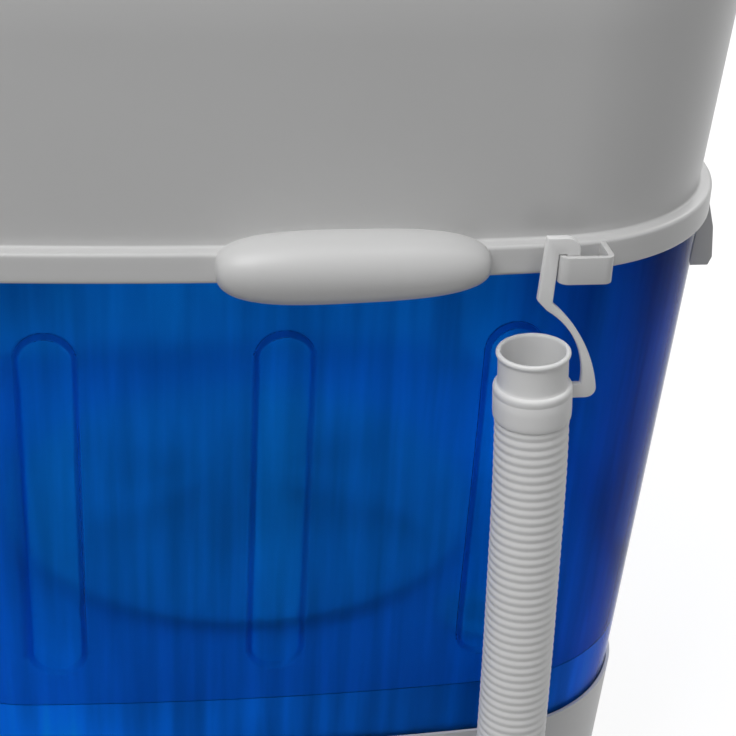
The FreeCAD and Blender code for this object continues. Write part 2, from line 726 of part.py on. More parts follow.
def panel_solid(shrink):
    """Wedge over the deck's front, shrunk evenly for the hollow inside."""
    front = PANEL_INSET - RIM_HALF_DEPTH + head_inset(DECK_Z)
    back = PANEL_BACK_Y - shrink
    half = RIM_HALF_WIDTH
    low = DECK_Z if shrink == 0 else DECK_Z - OVERCUT
    high = DECK_Z + PANEL_BACK_HEIGHT
    points = [V(-half, front, low), V(-half, back, low), V(-half, back, high - shrink),
              V(-half, front, DECK_Z + PANEL_FRONT_HEIGHT - shrink)]
    wedge = prism(points, V(2 * half, 0, 0))
    side = PANEL_HALF_WIDTH - shrink
    plan = block(-side, side, -2 * RIM_HALF_DEPTH, back, low, high)
    uprights = [e for e in plan.Edges if e.BoundBox.ZLength > 1.0 and e.BoundBox.YMin > back - 0.01]
    plan = plan.makeFillet(PANEL_CORNER - shrink, uprights)
    inset = head_inset(DECK_Z) + PANEL_INSET + shrink
    return wedge.common(plan).common(outline_solid([(inset, low), (inset, high)]))


def on_slope(edge):
    """True for an edge whose two ends lie on the panel's sloped face."""
    origin, across, up_slope, out = panel_frame()
    return all(abs(vertex.Point.sub(origin).dot(out)) < 0.01 for vertex in edge.Vertexes)


def make_control_panel():
    panel = panel_solid(0)
    panel = panel.makeFillet(PANEL_EDGE_ROUND, [e for e in panel.Edges if on_slope(e)])
    panel = panel.cut(panel_solid(PANEL_WALL))
    hole = SPINDLE_RADIUS + SPINDLE_HOLE_GAP
    for x in (-KNOB_X, KNOB_X):
        panel = panel.cut(on_panel(rod(hole, -3 * PANEL_WALL, PANEL_WALL), x))
    return panel.removeSplitter()


def make_knob(x):
    low = KNOB_GAP
    top = low + KNOB_HEIGHT
    crown = top + GRIP_HEIGHT
    skirt = Part.makeCone(KNOB_RADIUS, KNOB_RADIUS * 0.94, KNOB_HEIGHT, V(0, 0, low), UP)
    length = KNOB_RADIUS * 0.92
    grip = block(-GRIP_WIDTH / 2.0, GRIP_WIDTH / 2.0, -length, length, low, crown)
    grip = grip.common(Part.makeCone(KNOB_RADIUS, KNOB_RADIUS * 0.8, crown, V(0, 0, 0), UP))
    knob = skirt.fuse(grip)
    mark = block(-POINTER_WIDTH / 2.0, POINTER_WIDTH / 2.0, length - POINTER_LENGTH, KNOB_RADIUS,
                 crown - POINTER_RELIEF, crown + OVERCUT)
    knob = knob.cut([mark, rod(SPINDLE_RADIUS, low - OVERCUT, low + SPINDLE_IN_KNOB)])
    return on_panel(knob.removeSplitter(), x)


def make_spindle(x):
    return on_panel(rod(SPINDLE_RADIUS, -PANEL_WALL - SPINDLE_IN_UNIT, KNOB_GAP + SPINDLE_IN_KNOB), x)


def make_unit(x, width, depth, height):
    middle = -UNIT_SHIFT
    unit = block(-width / 2.0, width / 2.0, middle - depth / 2.0, middle + depth / 2.0, -PANEL_WALL - height,
                 -PANEL_WALL)
    bore = rod(SPINDLE_RADIUS + RUNNING_GAP, -PANEL_WALL - SPINDLE_IN_UNIT - SEAT_GAP, OVERCUT)
    return on_panel(unit.cut(bore), x)


# Carry handles

def oval(half_length, half_height, half_depth):
    ball = Part.makeSphere(1.0)
    stretch = FreeCAD.Matrix()
    stretch.scale(V(half_depth, half_length, half_height))
    return ball.transformGeometry(stretch)


def make_handle():
    centre = V(RIM_HALF_WIDTH + HANDLE_OUT, HANDLE_Y, SKIRT_BOTTOM_Z + HANDLE_LIFT)
    grip = oval(HANDLE_HALF_LENGTH, HANDLE_HALF_HEIGHT, HANDLE_HALF_DEPTH)
    hollow = oval(HANDLE_HALF_LENGTH - HANDLE_WALL, HANDLE_HALF_HEIGHT - HANDLE_WALL,
                  HANDLE_HALF_DEPTH - HANDLE_WALL)
    grip = grip.cut(hollow)
    grip.translate(centre)
    reach = 2 * HANDLE_HALF_LENGTH
    under = block(centre.x - reach, centre.x + reach, centre.y - reach, centre.y + reach,
                  SKIRT_BOTTOM_Z - reach, SKIRT_BOTTOM_Z - HANDLE_CUT_DROP)
    inside = block(centre.x - reach, RIM_HALF_WIDTH - TUB_INSET, centre.y - reach, centre.y + reach,
                   SKIRT_BOTTOM_Z - reach, LEDGE_Z)
    slot = block(centre.x - reach, centre.x + HANDLE_SLOT_OUT, centre.y - HANDLE_SLOT_HALF_LENGTH,
                 centre.y + HANDLE_SLOT_HALF_LENGTH, SKIRT_BOTTOM_Z - reach, centre.z)
    return grip.cut([under, inside, slot, head_envelope(SEAT_GAP)])


# Hose pocket

def make_hose_pocket():
    back = RIM_HALF_WIDTH - RIM_CORNER_RADIUS / 2.0
    box = block(back, POCKET_FRONT_X, POCKET_Y, POCKET_Y + POCKET_WIDTH, SKIRT_BOTTOM_Z, LEDGE_Z)
    corners = [e for e in box.Edges if abs(e.CenterOfMass.x - POCKET_FRONT_X) < 0.01
               and abs(e.CenterOfMass.z - (SKIRT_BOTTOM_Z + LEDGE_Z) / 2.0) < 0.01]
    box = box.makeFillet(POCKET_CORNER, corners)
    gap = block(back - OVERCUT, POCKET_FRONT_X - POCKET_WALL, POCKET_Y + POCKET_WALL,
                POCKET_Y + POCKET_WIDTH - POCKET_WALL, SKIRT_BOTTOM_Z - OVERCUT, LEDGE_Z + OVERCUT)
    wall_top = outline_solid([(-SEAT_GAP, SKIRT_BOTTOM_Z - OVERCUT), (-SEAT_GAP, LEDGE_Z + OVERCUT)])
    return box.cut([gap, wall_top])


# Drain hose, its end piece with the hook, and the outlet

def hose_frame():
    """Middle of the hose's open mouth, and the axes with the third one up the hose."""
    origin = V(HOSE_X, HOSE_Y, SKIRT_BOTTOM_Z - MOUTH_DROP)
    up = V(HOSE_LEAN_X, -HOSE_LEAN_Y, 1.0).normalize()
    along = V(0, 1, 0).cross(up).normalize()
    return origin, along, up.cross(along), up


def on_hose(shape):
    origin, along, across, up = hose_frame()
    return framed(shape, origin, along, across, up)


def hose_point(w):
    origin, along, across, up = hose_frame()
    return origin + up * w


CUFF_FOOT_W = -SPIGOT_HEIGHT - CUFF_HEIGHT
RIB_TOP_W = CUFF_FOOT_W - HOSE_NECK_REVEAL
RIB_FOOT_W = RIB_TOP_W - RIB_COUNT * RIB_PITCH
HOSE_FOOT_W = RIB_FOOT_W - HOSE_FOOT_LENGTH


def hook_plate():
    """Flat hook: strap outside the pocket's wall, tongue inside it, arm down to the cuff."""
    wall_top = LEDGE_Z + HOOK_GAP
    top = wall_top + BRIDGE_HEIGHT
    strap_right = POCKET_Y - HOOK_GAP
    strap_left = strap_right - STRAP_WIDTH
    tongue_left = POCKET_Y + POCKET_WALL + HOOK_GAP
    tongue_right = tongue_left + TONGUE_WIDTH
    elbow_z = LEDGE_Z - STRAP_DROP
    foot_y = strap_right + ARM_REACH
    foot_z = elbow_z - ARM_DROP
    inner_y = foot_y - ARM_FOOT_WIDTH
    root_y = HOSE_Y + SPIGOT_RADIUS

    def p(y, z):
        return V(0, y, z)

    def line(a, b):
        return Part.LineSegment(p(*a), p(*b)).toShape()

    def arc(a, b, c):
        return Part.Arc(p(*a), p(*b), p(*c)).toShape()

    strap_foot = (strap_right - STRAP_LEAN * 0.3, elbow_z)
    strap_heel = (strap_left - STRAP_LEAN * 0.7, elbow_z + STRAP_HEEL_RISE)
    heel_tip = (strap_foot[0] - ARM_TOP_WIDTH * 0.5, elbow_z - ARM_TOP_WIDTH)
    outer_mid = (strap_right + ARM_REACH * 0.66, elbow_z - ARM_DROP * 0.42)
    inner_mid = (inner_y - ARM_REACH * 0.23, elbow_z - ARM_DROP * 0.40)
    outer_end = (foot_y, foot_z + ARM_FOOT_WIDTH * 0.5)
    foot_turn = (foot_y - ARM_FOOT_WIDTH * 0.14, foot_z + ARM_FOOT_WIDTH * 0.14)
    foot_low = (foot_y - ARM_FOOT_WIDTH * 0.5, foot_z)
    inner_end = (inner_y, foot_z + ARM_FOOT_HEIGHT)
    round_start = (tongue_right - TONGUE_WIDTH * 0.8, top)
    round_mid = (tongue_right - TONGUE_WIDTH * 0.24, top - TONGUE_WIDTH * 0.24)
    round_end = (tongue_right, top - TONGUE_WIDTH * 0.8)
    tongue_low = wall_top - TONGUE_DROP
    edges = [
        line((strap_left, top), strap_heel),
        line(strap_heel, heel_tip),
        arc(heel_tip, inner_mid, inner_end),
        line(inner_end, (root_y, inner_end[1])),
        line((root_y, inner_end[1]), (root_y, foot_z)),
        line((root_y, foot_z), foot_low),
        arc(foot_low, foot_turn, outer_end),
        arc(outer_end, outer_mid, strap_foot),
        line(strap_foot, (strap_right, wall_top)),
        line((strap_right, wall_top), (tongue_left, wall_top)),
        line((tongue_left, wall_top), (tongue_left, tongue_low)),
        line((tongue_left, tongue_low), (tongue_right, tongue_low)),
        line((tongue_right, tongue_low), round_end),
        arc(round_end, round_mid, round_start),
        line(round_start, (strap_left, top)),
    ]
    front = POCKET_FRONT_X - POCKET_WALL - HOOK_GAP
    plate = Part.Face(Part.Wire(edges)).extrude(V(HOOK_THICKNESS, 0, 0))
    plate.translate(V(front - HOOK_THICKNESS, 0, 0))
    return plate


def make_hose_end():
    sleeve = revolved([
        (SPIGOT_BORE_RADIUS, 0), (LIP_RADIUS, 0), (LIP_RADIUS, -LIP_HEIGHT), (SPIGOT_RADIUS, -LIP_HEIGHT),
        (SPIGOT_RADIUS, -SPIGOT_HEIGHT), (CUFF_RADIUS, -SPIGOT_HEIGHT), (CUFF_RADIUS, CUFF_FOOT_W),
        (HOSE_NECK_RADIUS + SEAT_GAP, CUFF_FOOT_W), (HOSE_NECK_RADIUS + SEAT_GAP, -SPIGOT_HEIGHT - LIP_HEIGHT),
        (SPIGOT_BORE_RADIUS, -SPIGOT_HEIGHT - LIP_HEIGHT)])
    inside = on_hose(rod(HOSE_NECK_RADIUS + SEAT_GAP, 2 * CUFF_FOOT_W, OVERCUT))
    return on_hose(sleeve).fuse(hook_plate().cut(inside)).removeSplitter()


def make_drain_hose():
    top = -SPIGOT_HEIGHT - LIP_HEIGHT - SEAT_GAP
    rings = [(HOSE_FOOT_W, HOSE_NECK_RADIUS), (RIB_FOOT_W, HOSE_NECK_RADIUS)]
    for index in range(RIB_COUNT):
        foot = RIB_FOOT_W + index * RIB_PITCH
        rings.append((foot + 0.18 * RIB_PITCH, HOSE_NECK_RADIUS))
        rings.append((foot + 0.36 * RIB_PITCH, HOSE_RIB_RADIUS))
        rings.append((foot + 0.72 * RIB_PITCH, HOSE_RIB_RADIUS))
        rings.append((foot + 0.90 * RIB_PITCH, HOSE_NECK_RADIUS))
    rings.append((RIB_TOP_W, HOSE_NECK_RADIUS))
    rings.append((top, HOSE_NECK_RADIUS))
    circles = [Part.Wire(Part.makeCircle(radius, V(0, 0, w), UP)) for w, radius in rings]
    body = Part.makeLoft(circles, True, True)
    return on_hose(body.cut(rod(HOSE_BORE_RADIUS, HOSE_FOOT_W - OVERCUT, top + OVERCUT)))


def make_hose_clamp():
    inner = HOSE_NECK_RADIUS + SEAT_GAP
    outer = inner + CLAMP_WALL
    low = HOSE_FOOT_W + (HOSE_FOOT_LENGTH - CLAMP_WIDTH) / 2.0
    band = tube(outer, inner, low, low + CLAMP_WIDTH)
    half = CLAMP_WALL
    ears = block(-half, half, -outer - CLAMP_EAR, -inner, low, low + CLAMP_WIDTH)
    slit = block(-half / 3.0, half / 3.0, -outer - 2 * CLAMP_EAR, -inner + OVERCUT, low - OVERCUT,
                 low + CLAMP_WIDTH + OVERCUT)
    bolt = Part.makeCylinder(half, 4 * half, V(-2 * half, -outer - CLAMP_EAR / 2.0, low + CLAMP_WIDTH / 2.0),
                             V(1, 0, 0))
    return on_hose(band.fuse(ears).cut(slit).fuse(bolt).removeSplitter())


def outlet_corner():
    """Point where the outlet's level run meets the hose's axis."""
    return hose_point(HOSE_FOOT_W - OUTLET_STOP_THICKNESS - OUTLET_BEND_RADIUS - OVERCUT)


def base_wall_x(z, y):
    """Outside of the base's right wall at a height and a place along the side."""
    corner, side, back = corner_centre()
    inset = tub_inset(z) - BASE_STEP
    if y <= corner.y:
        bow = RIM_BOW_RADIUS - inset
        return side.x + math.sqrt(bow ** 2 - y ** 2)
    return corner.x + math.sqrt((RIM_CORNER_RADIUS - inset) ** 2 - (y - corner.y) ** 2)


def outlet_outer_radius():
    return HOSE_BORE_RADIUS - SEAT_GAP / 2.0


def make_drain_elbow():
    corner = outlet_corner()
    wall = base_wall_x(corner.z, corner.y) - BASE_WALL
    insert = hose_point(HOSE_FOOT_W + OUTLET_INSERT)
    path = pipe_path([V(wall, corner.y, corner.z), corner, insert], OUTLET_BEND_RADIUS)
    outer = outlet_outer_radius()
    pipe = swept(path, outer)
    stop = on_hose(rod(HOSE_RIB_RADIUS, HOSE_FOOT_W - OUTLET_STOP_THICKNESS, HOSE_FOOT_W))
    flange_x = base_wall_x(corner.z - OUTLET_FLANGE_RADIUS, corner.y) + OVERCUT / 2.0
    flange_far = base_wall_x(corner.z + OUTLET_FLANGE_RADIUS, corner.y) + OUTLET_FLANGE_THICKNESS
    flange = Part.makeCylinder(OUTLET_FLANGE_RADIUS, flange_far - flange_x, V(flange_x, corner.y, corner.z),
                               V(1, 0, 0))
    wall_side = outline_solid([
        (tub_inset(BASE_BOTTOM_Z) - BASE_STEP - SEAT_GAP, BASE_BOTTOM_Z),
        (tub_inset(BASE_TOP_Z) - BASE_STEP - SEAT_GAP, BASE_TOP_Z)])
    solid = pipe.fuse([stop, flange.cut(wall_side)])
    return solid.cut(swept(path, outer - OUTLET_PIPE_WALL)).removeSplitter()


def make_drain_pipe():
    corner = outlet_corner()
    wall = base_wall_x(corner.z, corner.y) - BASE_WALL
    points = [V(DRAIN_X, corner.y, TUB_FLOOR_Z), V(DRAIN_X, corner.y, corner.z), V(wall, corner.y, corner.z)]
    path = pipe_path(points, DRAIN_BEND_RADIUS)
    outer = outlet_outer_radius()
    flange = rod(DRAIN_FLANGE_RADIUS, TUB_FLOOR_Z - DRAIN_FLANGE_THICKNESS, TUB_FLOOR_Z, DRAIN_X, corner.y)
    return swept(path, outer).fuse(flange).cut(swept(path, outer - OUTLET_PIPE_WALL)).removeSplitter()


def make_drain_strainer():
    y = outlet_corner().y
    neck = HOSE_BORE_RADIUS - SEAT_GAP
    plate = rod(STRAINER_RADIUS, FLOOR_TOP_Z, FLOOR_TOP_Z + STRAINER_THICKNESS, DRAIN_X, y)
    collar = tube(neck, neck - OUTLET_PIPE_WALL, TUB_FLOOR_Z, FLOOR_TOP_Z, DRAIN_X, y)
    strainer = plate.fuse(collar)
    spots = ring_points(neck * 0.55, even_angles(STRAINER_HOLE_COUNT), DRAIN_X, y) + [(DRAIN_X, y)]
    top = FLOOR_TOP_Z + STRAINER_THICKNESS + OVERCUT
    for hole_x, hole_y in spots:
        strainer = strainer.cut(rod(STRAINER_HOLE_RADIUS, TUB_FLOOR_Z, top, hole_x, hole_y))
    return strainer


# Base housing, bottom plate and feet

def base_boss_spots():
    x = RIM_HALF_WIDTH - tub_inset(PLATE_TOP_Z) + BASE_STEP - BASE_WALL - BASE_BOSS_FROM_WALL
    return [(sx * x, sy * BASE_BOSS_Y) for sx in (-1, 1) for sy in (-1, 1)]


def make_base_housing():
    flange_low = TUB_SEAT_Z - BASE_FLANGE_THICKNESS
    step = -BASE_STEP
    shell = tub_solid(step, BASE_BOTTOM_Z, BASE_TOP_Z)
    shell = shell.cut(tub_solid(step + BASE_WALL, BASE_BOTTOM_Z - OVERCUT, flange_low))
    shell = shell.cut(tub_solid(BASE_FLANGE_WIDTH, flange_low - OVERCUT, TUB_SEAT_Z + OVERCUT))
    shell = shell.cut(tub_solid(-FIT_GAP, TUB_SEAT_Z, BASE_TOP_Z + OVERCUT))
    bosses = []
    boss_top = PLATE_TOP_Z + BASE_BOSS_HEIGHT
    for x, y in base_boss_spots():
        edge = math.copysign(RIM_HALF_WIDTH, x)
        bosses.append(rod(BASE_BOSS_RADIUS, PLATE_TOP_Z, boss_top, x, y))
        bosses.append(block(min(x, edge), max(x, edge), y - BASE_WALL / 2.0, y + BASE_WALL / 2.0,
                            PLATE_TOP_Z, boss_top))
    inside = tub_solid(step + BASE_WALL / 2.0, PLATE_TOP_Z - OVERCUT, TUB_SEAT_Z)
    shell = shell.fuse([boss.common(inside) for boss in bosses])
    cuts = []
    for x, y in base_boss_spots():
        cuts.append(rod(BASE_SCREW_RADIUS, PLATE_TOP_Z - OVERCUT,
                        FOOT_HEIGHT + BASE_SCREW_LENGTH + SEAT_GAP, x, y))
    corner = outlet_corner()
    reach = RIM_HALF_WIDTH
    cuts.append(Part.makeCylinder(outlet_outer_radius() + SEAT_GAP, reach, V(DRAIN_X, corner.y, corner.z),
                                  V(1, 0, 0)))
    cuts.append(Part.makeCylinder(GLAND_NECK_RADIUS + SEAT_GAP, reach, V(GLAND_X, 0, GLAND_Z), V(0, 1, 0)))
    for index in range(VENT_COUNT):
        y = (index - (VENT_COUNT - 1) / 2.0) * VENT_PITCH
        cuts.append(block(-reach, -reach / 2.0, y - VENT_WIDTH / 2.0, y + VENT_WIDTH / 2.0,
                          VENT_Z - VENT_HEIGHT / 2.0, VENT_Z + VENT_HEIGHT / 2.0))
    return shell.cut(cuts).removeSplitter()


def make_base_plate():
    inset = tub_inset(FOOT_HEIGHT) - BASE_STEP + BASE_WALL + FIT_GAP
    plate = outline_solid([(inset, FOOT_HEIGHT), (inset, PLATE_TOP_Z)])
    for x, y in base_boss_spots():
        plate = plate.cut(rod(BASE_SCREW_RADIUS + FIT_GAP, FOOT_HEIGHT - OVERCUT, PLATE_TOP_Z + OVERCUT, x, y))
    return plate


def screw(x, y, head_face, length, radius, way):
    """Screw whose head bears on head_face, with the shank going the given way in Z."""
    shank_low = min(head_face, head_face + way * length)
    head_low = min(head_face, head_face - way * SCREW_HEAD_HEIGHT)
    shank = rod(radius, shank_low, shank_low + length, x, y)
    return shank.fuse(rod(SCREW_HEAD_RADIUS, head_low, head_low + SCREW_HEAD_HEIGHT, x, y)).removeSplitter()


def make_base_screws():
    return Part.makeCompound([screw(x, y, FOOT_HEIGHT, BASE_SCREW_LENGTH, BASE_SCREW_RADIUS, 1)
                              for x, y in base_boss_spots()])


def make_feet():
    edge = FOOT_RADIUS - FOOT_FLARE
    foot = revolved([(0, 0), (edge - FOOT_CHAMFER, 0), (edge, FOOT_CHAMFER),
                     (FOOT_RADIUS, FOOT_HEIGHT - FOOT_COLLAR), (FOOT_RADIUS, FOOT_HEIGHT), (0, FOOT_HEIGHT)])
    feet = []
    for sx in (-1, 1):
        for sy in (-1, 1):
            copy = foot.copy()
            copy.translate(V(sx * FOOT_X, sy * FOOT_Y, 0))
            feet.append(copy)
    return Part.makeCompound(feet)


# Pulsator drive

BEARING_BOTTOM_Z = TUB_FLOOR_Z - BEARING_LENGTH
BEARING_TOP_Z = FLOOR_TOP_Z + BEARING_NECK_HEIGHT
PULSATOR_Z = FLOOR_TOP_Z + PULSATOR_FLOOR_GAP
PULSATOR_TOP_Z = PULSATOR_Z + PULSATOR_HUB_HEIGHT


def make_bearing_housing():
    body = revolved([
        (0, BEARING_BOTTOM_Z), (BEARING_BOSS_RADIUS, BEARING_BOTTOM_Z),
        (BEARING_BOSS_RADIUS, TUB_FLOOR_Z - BEARING_FLANGE_THICKNESS),
        (BEARING_FLANGE_RADIUS, TUB_FLOOR_Z - BEARING_FLANGE_THICKNESS), (BEARING_FLANGE_RADIUS, TUB_FLOOR_Z),
        (BEARING_NECK_RADIUS, TUB_FLOOR_Z), (BEARING_NECK_RADIUS, BEARING_TOP_Z), (0, BEARING_TOP_Z)])
    body = body.cut(rod(SHAFT_RADIUS + BEARING_BORE_GAP, BEARING_BOTTOM_Z - OVERCUT, BEARING_TOP_Z + OVERCUT))
    body = body.cut(rod(BUSH_RADIUS, BEARING_BOTTOM_Z - OVERCUT, BEARING_BOTTOM_Z + BUSH_LENGTH))
    body = body.cut(rod(BUSH_RADIUS, BEARING_TOP_Z - SEAL_HEIGHT - BUSH_LENGTH, BEARING_TOP_Z + OVERCUT))
    for x, y in ring_points(BEARING_SCREW_CIRCLE, even_angles(4, 45.0)):
        body = body.cut(rod(BEARING_SCREW_RADIUS, TUB_FLOOR_Z - 3 * BEARING_FLANGE_THICKNESS,
                            TUB_FLOOR_Z + OVERCUT, x, y))
    return body


def make_bush(low):
    return tube(BUSH_RADIUS, SHAFT_RADIUS + RUNNING_GAP, low, low + BUSH_LENGTH)


def make_shaft_seal():
    return tube(BUSH_RADIUS, SHAFT_RADIUS + RUNNING_GAP, BEARING_TOP_Z - SEAL_HEIGHT, BEARING_TOP_Z)


def make_bearing_screws():
    length = TUB_FLOOR_THICKNESS + BEARING_FLANGE_THICKNESS
    spots = ring_points(BEARING_SCREW_CIRCLE, even_angles(4, 45.0))
    low = TUB_FLOOR_Z - BEARING_FLANGE_THICKNESS
    return Part.makeCompound([screw(x, y, low, length, BEARING_SCREW_RADIUS, 1) for x, y in spots])


def make_drive_shaft():
    return rod(SHAFT_RADIUS, SHAFT_BOTTOM_Z, PULSATOR_TOP_Z - CAP_HEIGHT)


def make_pulsator():
    skirt = PULSATOR_RADIUS - PULSATOR_THICKNESS
    top = PULSATOR_Z + PULSATOR_THICKNESS
    hub_under = BEARING_TOP_Z + PULSATOR_FLOOR_GAP
    disc = revolved([
        (0, hub_under), (PULSATOR_HUB_RADIUS - PULSATOR_THICKNESS, hub_under),
        (PULSATOR_HUB_RADIUS - PULSATOR_THICKNESS, PULSATOR_Z), (skirt, PULSATOR_Z),
        (PULSATOR_RADIUS, PULSATOR_Z + PULSATOR_THICKNESS / 2.0), (skirt, top),
        (PULSATOR_HUB_RADIUS + PULSATOR_HUB_SKIRT, top),
        (PULSATOR_HUB_RADIUS, PULSATOR_TOP_Z - PULSATOR_HUB_SKIRT),
        (PULSATOR_HUB_RADIUS - PULSATOR_HUB_SKIRT, PULSATOR_TOP_Z), (0, PULSATOR_TOP_Z)])
    vanes = []
    half = VANE_WIDTH / 2.0
    for angle in even_angles(VANE_COUNT):
        points = [V(PULSATOR_HUB_RADIUS / 2.0, 0, top), V(skirt - half, 0, top),
                  V(skirt - VANE_HEIGHT, 0, top + VANE_HEIGHT * 0.6),
                  V(PULSATOR_HUB_RADIUS / 2.0, 0, top + VANE_HEIGHT)]
        vane = prism([p + V(0, -half, 0) for p in points], V(0, VANE_WIDTH, 0))
        uppers = [e for e in vane.Edges if e.BoundBox.YLength < 0.01 and e.BoundBox.ZMin > top + 0.01]
        uppers += [e for e in vane.Edges if e.BoundBox.YLength < 0.01 and e.BoundBox.ZLength > 1.0
                   and e.BoundBox.XMax > skirt - VANE_HEIGHT + 0.01]
        vane = vane.makeFillet(half * 0.7, uppers)
        vane.rotate(V(0, 0, 0), UP, angle)
        vanes.append(vane)
    solid = disc.fuse(vanes)
    solid = solid.cut(rod(SHAFT_RADIUS, PULSATOR_Z - OVERCUT, PULSATOR_TOP_Z + OVERCUT))
    return solid.cut(rod(CAP_RADIUS, PULSATOR_TOP_Z - CAP_HEIGHT, PULSATOR_TOP_Z + OVERCUT)).removeSplitter()


def make_pulsator_cap():
    top = PULSATOR_TOP_Z + CAP_HEIGHT / 4.0
    cap = rod(CAP_RADIUS, PULSATOR_TOP_Z - CAP_HEIGHT, top)
    slot = block(-CAP_RADIUS * 0.6, CAP_RADIUS * 0.6, -CAP_SLOT_WIDTH / 2.0, CAP_SLOT_WIDTH / 2.0,
                 top - CAP_HEIGHT / 3.0, top + OVERCUT)
    return cap.cut(slot)


# Belt drive and motor

def pulley(radius, hub_radius, bore, x, y):
    width = BELT_WIDTH + 2 * PULLEY_SIDE_GAP
    low = BELT_Z - width / 2.0
    high = BELT_Z + width / 2.0
    flange = radius + PULLEY_FLANGE
    edge = PULLEY_FLANGE_THICKNESS
    inner = max(radius - PULLEY_RIM, hub_radius)
    body = tube(radius, inner, low, high)
    body = body.fuse([tube(flange, inner, low - edge, low), tube(flange, inner, high, high + edge)])
    body = body.fuse([rod(inner + PULLEY_WEB_LAP, BELT_Z - PULLEY_WEB / 2.0, BELT_Z + PULLEY_WEB / 2.0),
                      rod(hub_radius, low - edge, high + edge)])
    body = body.cut(rod(bore, low - 3 * edge, high + 3 * edge))
    body.translate(V(x, y, 0))
    return body


def make_driven_pulley():
    wheel = pulley(PULLEY_RADIUS, PULLEY_HUB_RADIUS, SHAFT_RADIUS, 0, 0)
    middle = (PULLEY_HUB_RADIUS + PULLEY_RADIUS - PULLEY_RIM) / 2.0
    for x, y in ring_points(middle, even_angles(PULLEY_HOLE_COUNT)):
        wheel = wheel.cut(rod(PULLEY_HOLE_RADIUS, BELT_Z - PULLEY_WEB, BELT_Z + PULLEY_WEB, x, y))
    return wheel.removeSplitter()


def make_pulley_nut():
    high = BELT_Z - BELT_WIDTH / 2.0 - PULLEY_SIDE_GAP - PULLEY_FLANGE_THICKNESS
    corners = [V(x, y, high - NUT_HEIGHT) for x, y in ring_points(NUT_RADIUS, even_angles(6))]
    nut = prism(corners, V(0, 0, NUT_HEIGHT))
    return nut.cut(rod(SHAFT_RADIUS, high - 2 * NUT_HEIGHT, high + OVERCUT))


def make_motor_pulley():
    return pulley(MOTOR_PULLEY_RADIUS, MOTOR_PULLEY_RADIUS - PULLEY_WEB_LAP, MOTOR_SHAFT_RADIUS,
                  MOTOR_X, MOTOR_Y).removeSplitter()


def belt_loop(extra, z):
    """Closed wire round both pulleys, extra outside their rims."""
    motor = V(MOTOR_X, MOTOR_Y, 0)
    way = V(MOTOR_X, MOTOR_Y, 0).normalize()
    across = V(-way.y, way.x, 0)
    sine = (PULLEY_RADIUS - MOTOR_PULLEY_RADIUS) / motor.Length
    cosine = math.sqrt(1 - sine ** 2)
    big = PULLEY_RADIUS + extra
    small = MOTOR_PULLEY_RADIUS + extra
    level = V(0, 0, z)
    left = way * sine + across * cosine
    right = way * sine - across * cosine
    edges = [
        Part.LineSegment(level + left * big, level + motor + left * small).toShape(),
        Part.Arc(level + motor + left * small, level + motor + way * small,
                 level + motor + right * small).toShape(),
        Part.LineSegment(level + motor + right * small, level + right * big).toShape(),
        Part.Arc(level + right * big, level - way * big, level + left * big).toShape(),
    ]
    return Part.Wire(edges)


def make_drive_belt():
    low = BELT_Z - BELT_WIDTH / 2.0
    outer = Part.Face(belt_loop(BELT_GAP + BELT_THICKNESS, low)).extrude(V(0, 0, BELT_WIDTH))
    inner = Part.Face(belt_loop(BELT_GAP, low - OVERCUT)).extrude(V(0, 0, BELT_WIDTH + 2 * OVERCUT))
    return outer.cut(inner)


MOTOR_Z = BRACKET_Z + BRACKET_THICKNESS


def make_motor_body():
    high = MOTOR_Z + MOTOR_HEIGHT
    body = revolved([
        (0, MOTOR_Z), (MOTOR_CAP_RADIUS, MOTOR_Z), (MOTOR_RADIUS, MOTOR_Z + MOTOR_CAP_HEIGHT),
        (MOTOR_RADIUS, high - MOTOR_CAP_HEIGHT), (MOTOR_CAP_RADIUS, high), (0, high)])
    body = body.cut(rod(MOTOR_SHAFT_RADIUS + RUNNING_GAP, MOTOR_Z - OVERCUT,
                        MOTOR_Z + MOTOR_SHAFT_INSIDE + SEAT_GAP))
    for x, y in ring_points(MOTOR_BOLT_CIRCLE, MOTOR_BOLT_ANGLES):
        body = body.cut(rod(MOTOR_BOLT_RADIUS, MOTOR_Z - OVERCUT, MOTOR_Z + MOTOR_BOLT_INSIDE, x, y))
    body.translate(V(MOTOR_X, MOTOR_Y, 0))
    return body


def make_motor_shaft():
    low = BELT_Z - BELT_WIDTH / 2.0 - PULLEY_SIDE_GAP - PULLEY_FLANGE_THICKNESS - MOTOR_SHAFT_BELOW
    return rod(MOTOR_SHAFT_RADIUS, low, MOTOR_Z + MOTOR_SHAFT_INSIDE, MOTOR_X, MOTOR_Y)


def bracket_leg_spots():
    toward = math.degrees(math.atan2(-MOTOR_Y, -MOTOR_X))
    return ring_points(BRACKET_LEG_CIRCLE, [toward + a for a in BRACKET_LEG_ANGLES], MOTOR_X, MOTOR_Y)


def make_motor_bracket():
    plate = rod(BRACKET_RADIUS, BRACKET_Z, MOTOR_Z, MOTOR_X, MOTOR_Y)
    legs = [rod(BRACKET_LEG_RADIUS, PLATE_TOP_Z + GROMMET_HEIGHT, BRACKET_Z, x, y)
            for x, y in bracket_leg_spots()]
    bracket = plate.fuse(legs).cut(rod(BRACKET_HOLE_RADIUS, BRACKET_Z - OVERCUT, MOTOR_Z + OVERCUT,
                                       MOTOR_X, MOTOR_Y))
    for x, y in ring_points(MOTOR_BOLT_CIRCLE, MOTOR_BOLT_ANGLES, MOTOR_X, MOTOR_Y):
        bracket = bracket.cut(rod(MOTOR_BOLT_RADIUS, BRACKET_Z - OVERCUT, MOTOR_Z + OVERCUT, x, y))
    return bracket.removeSplitter()


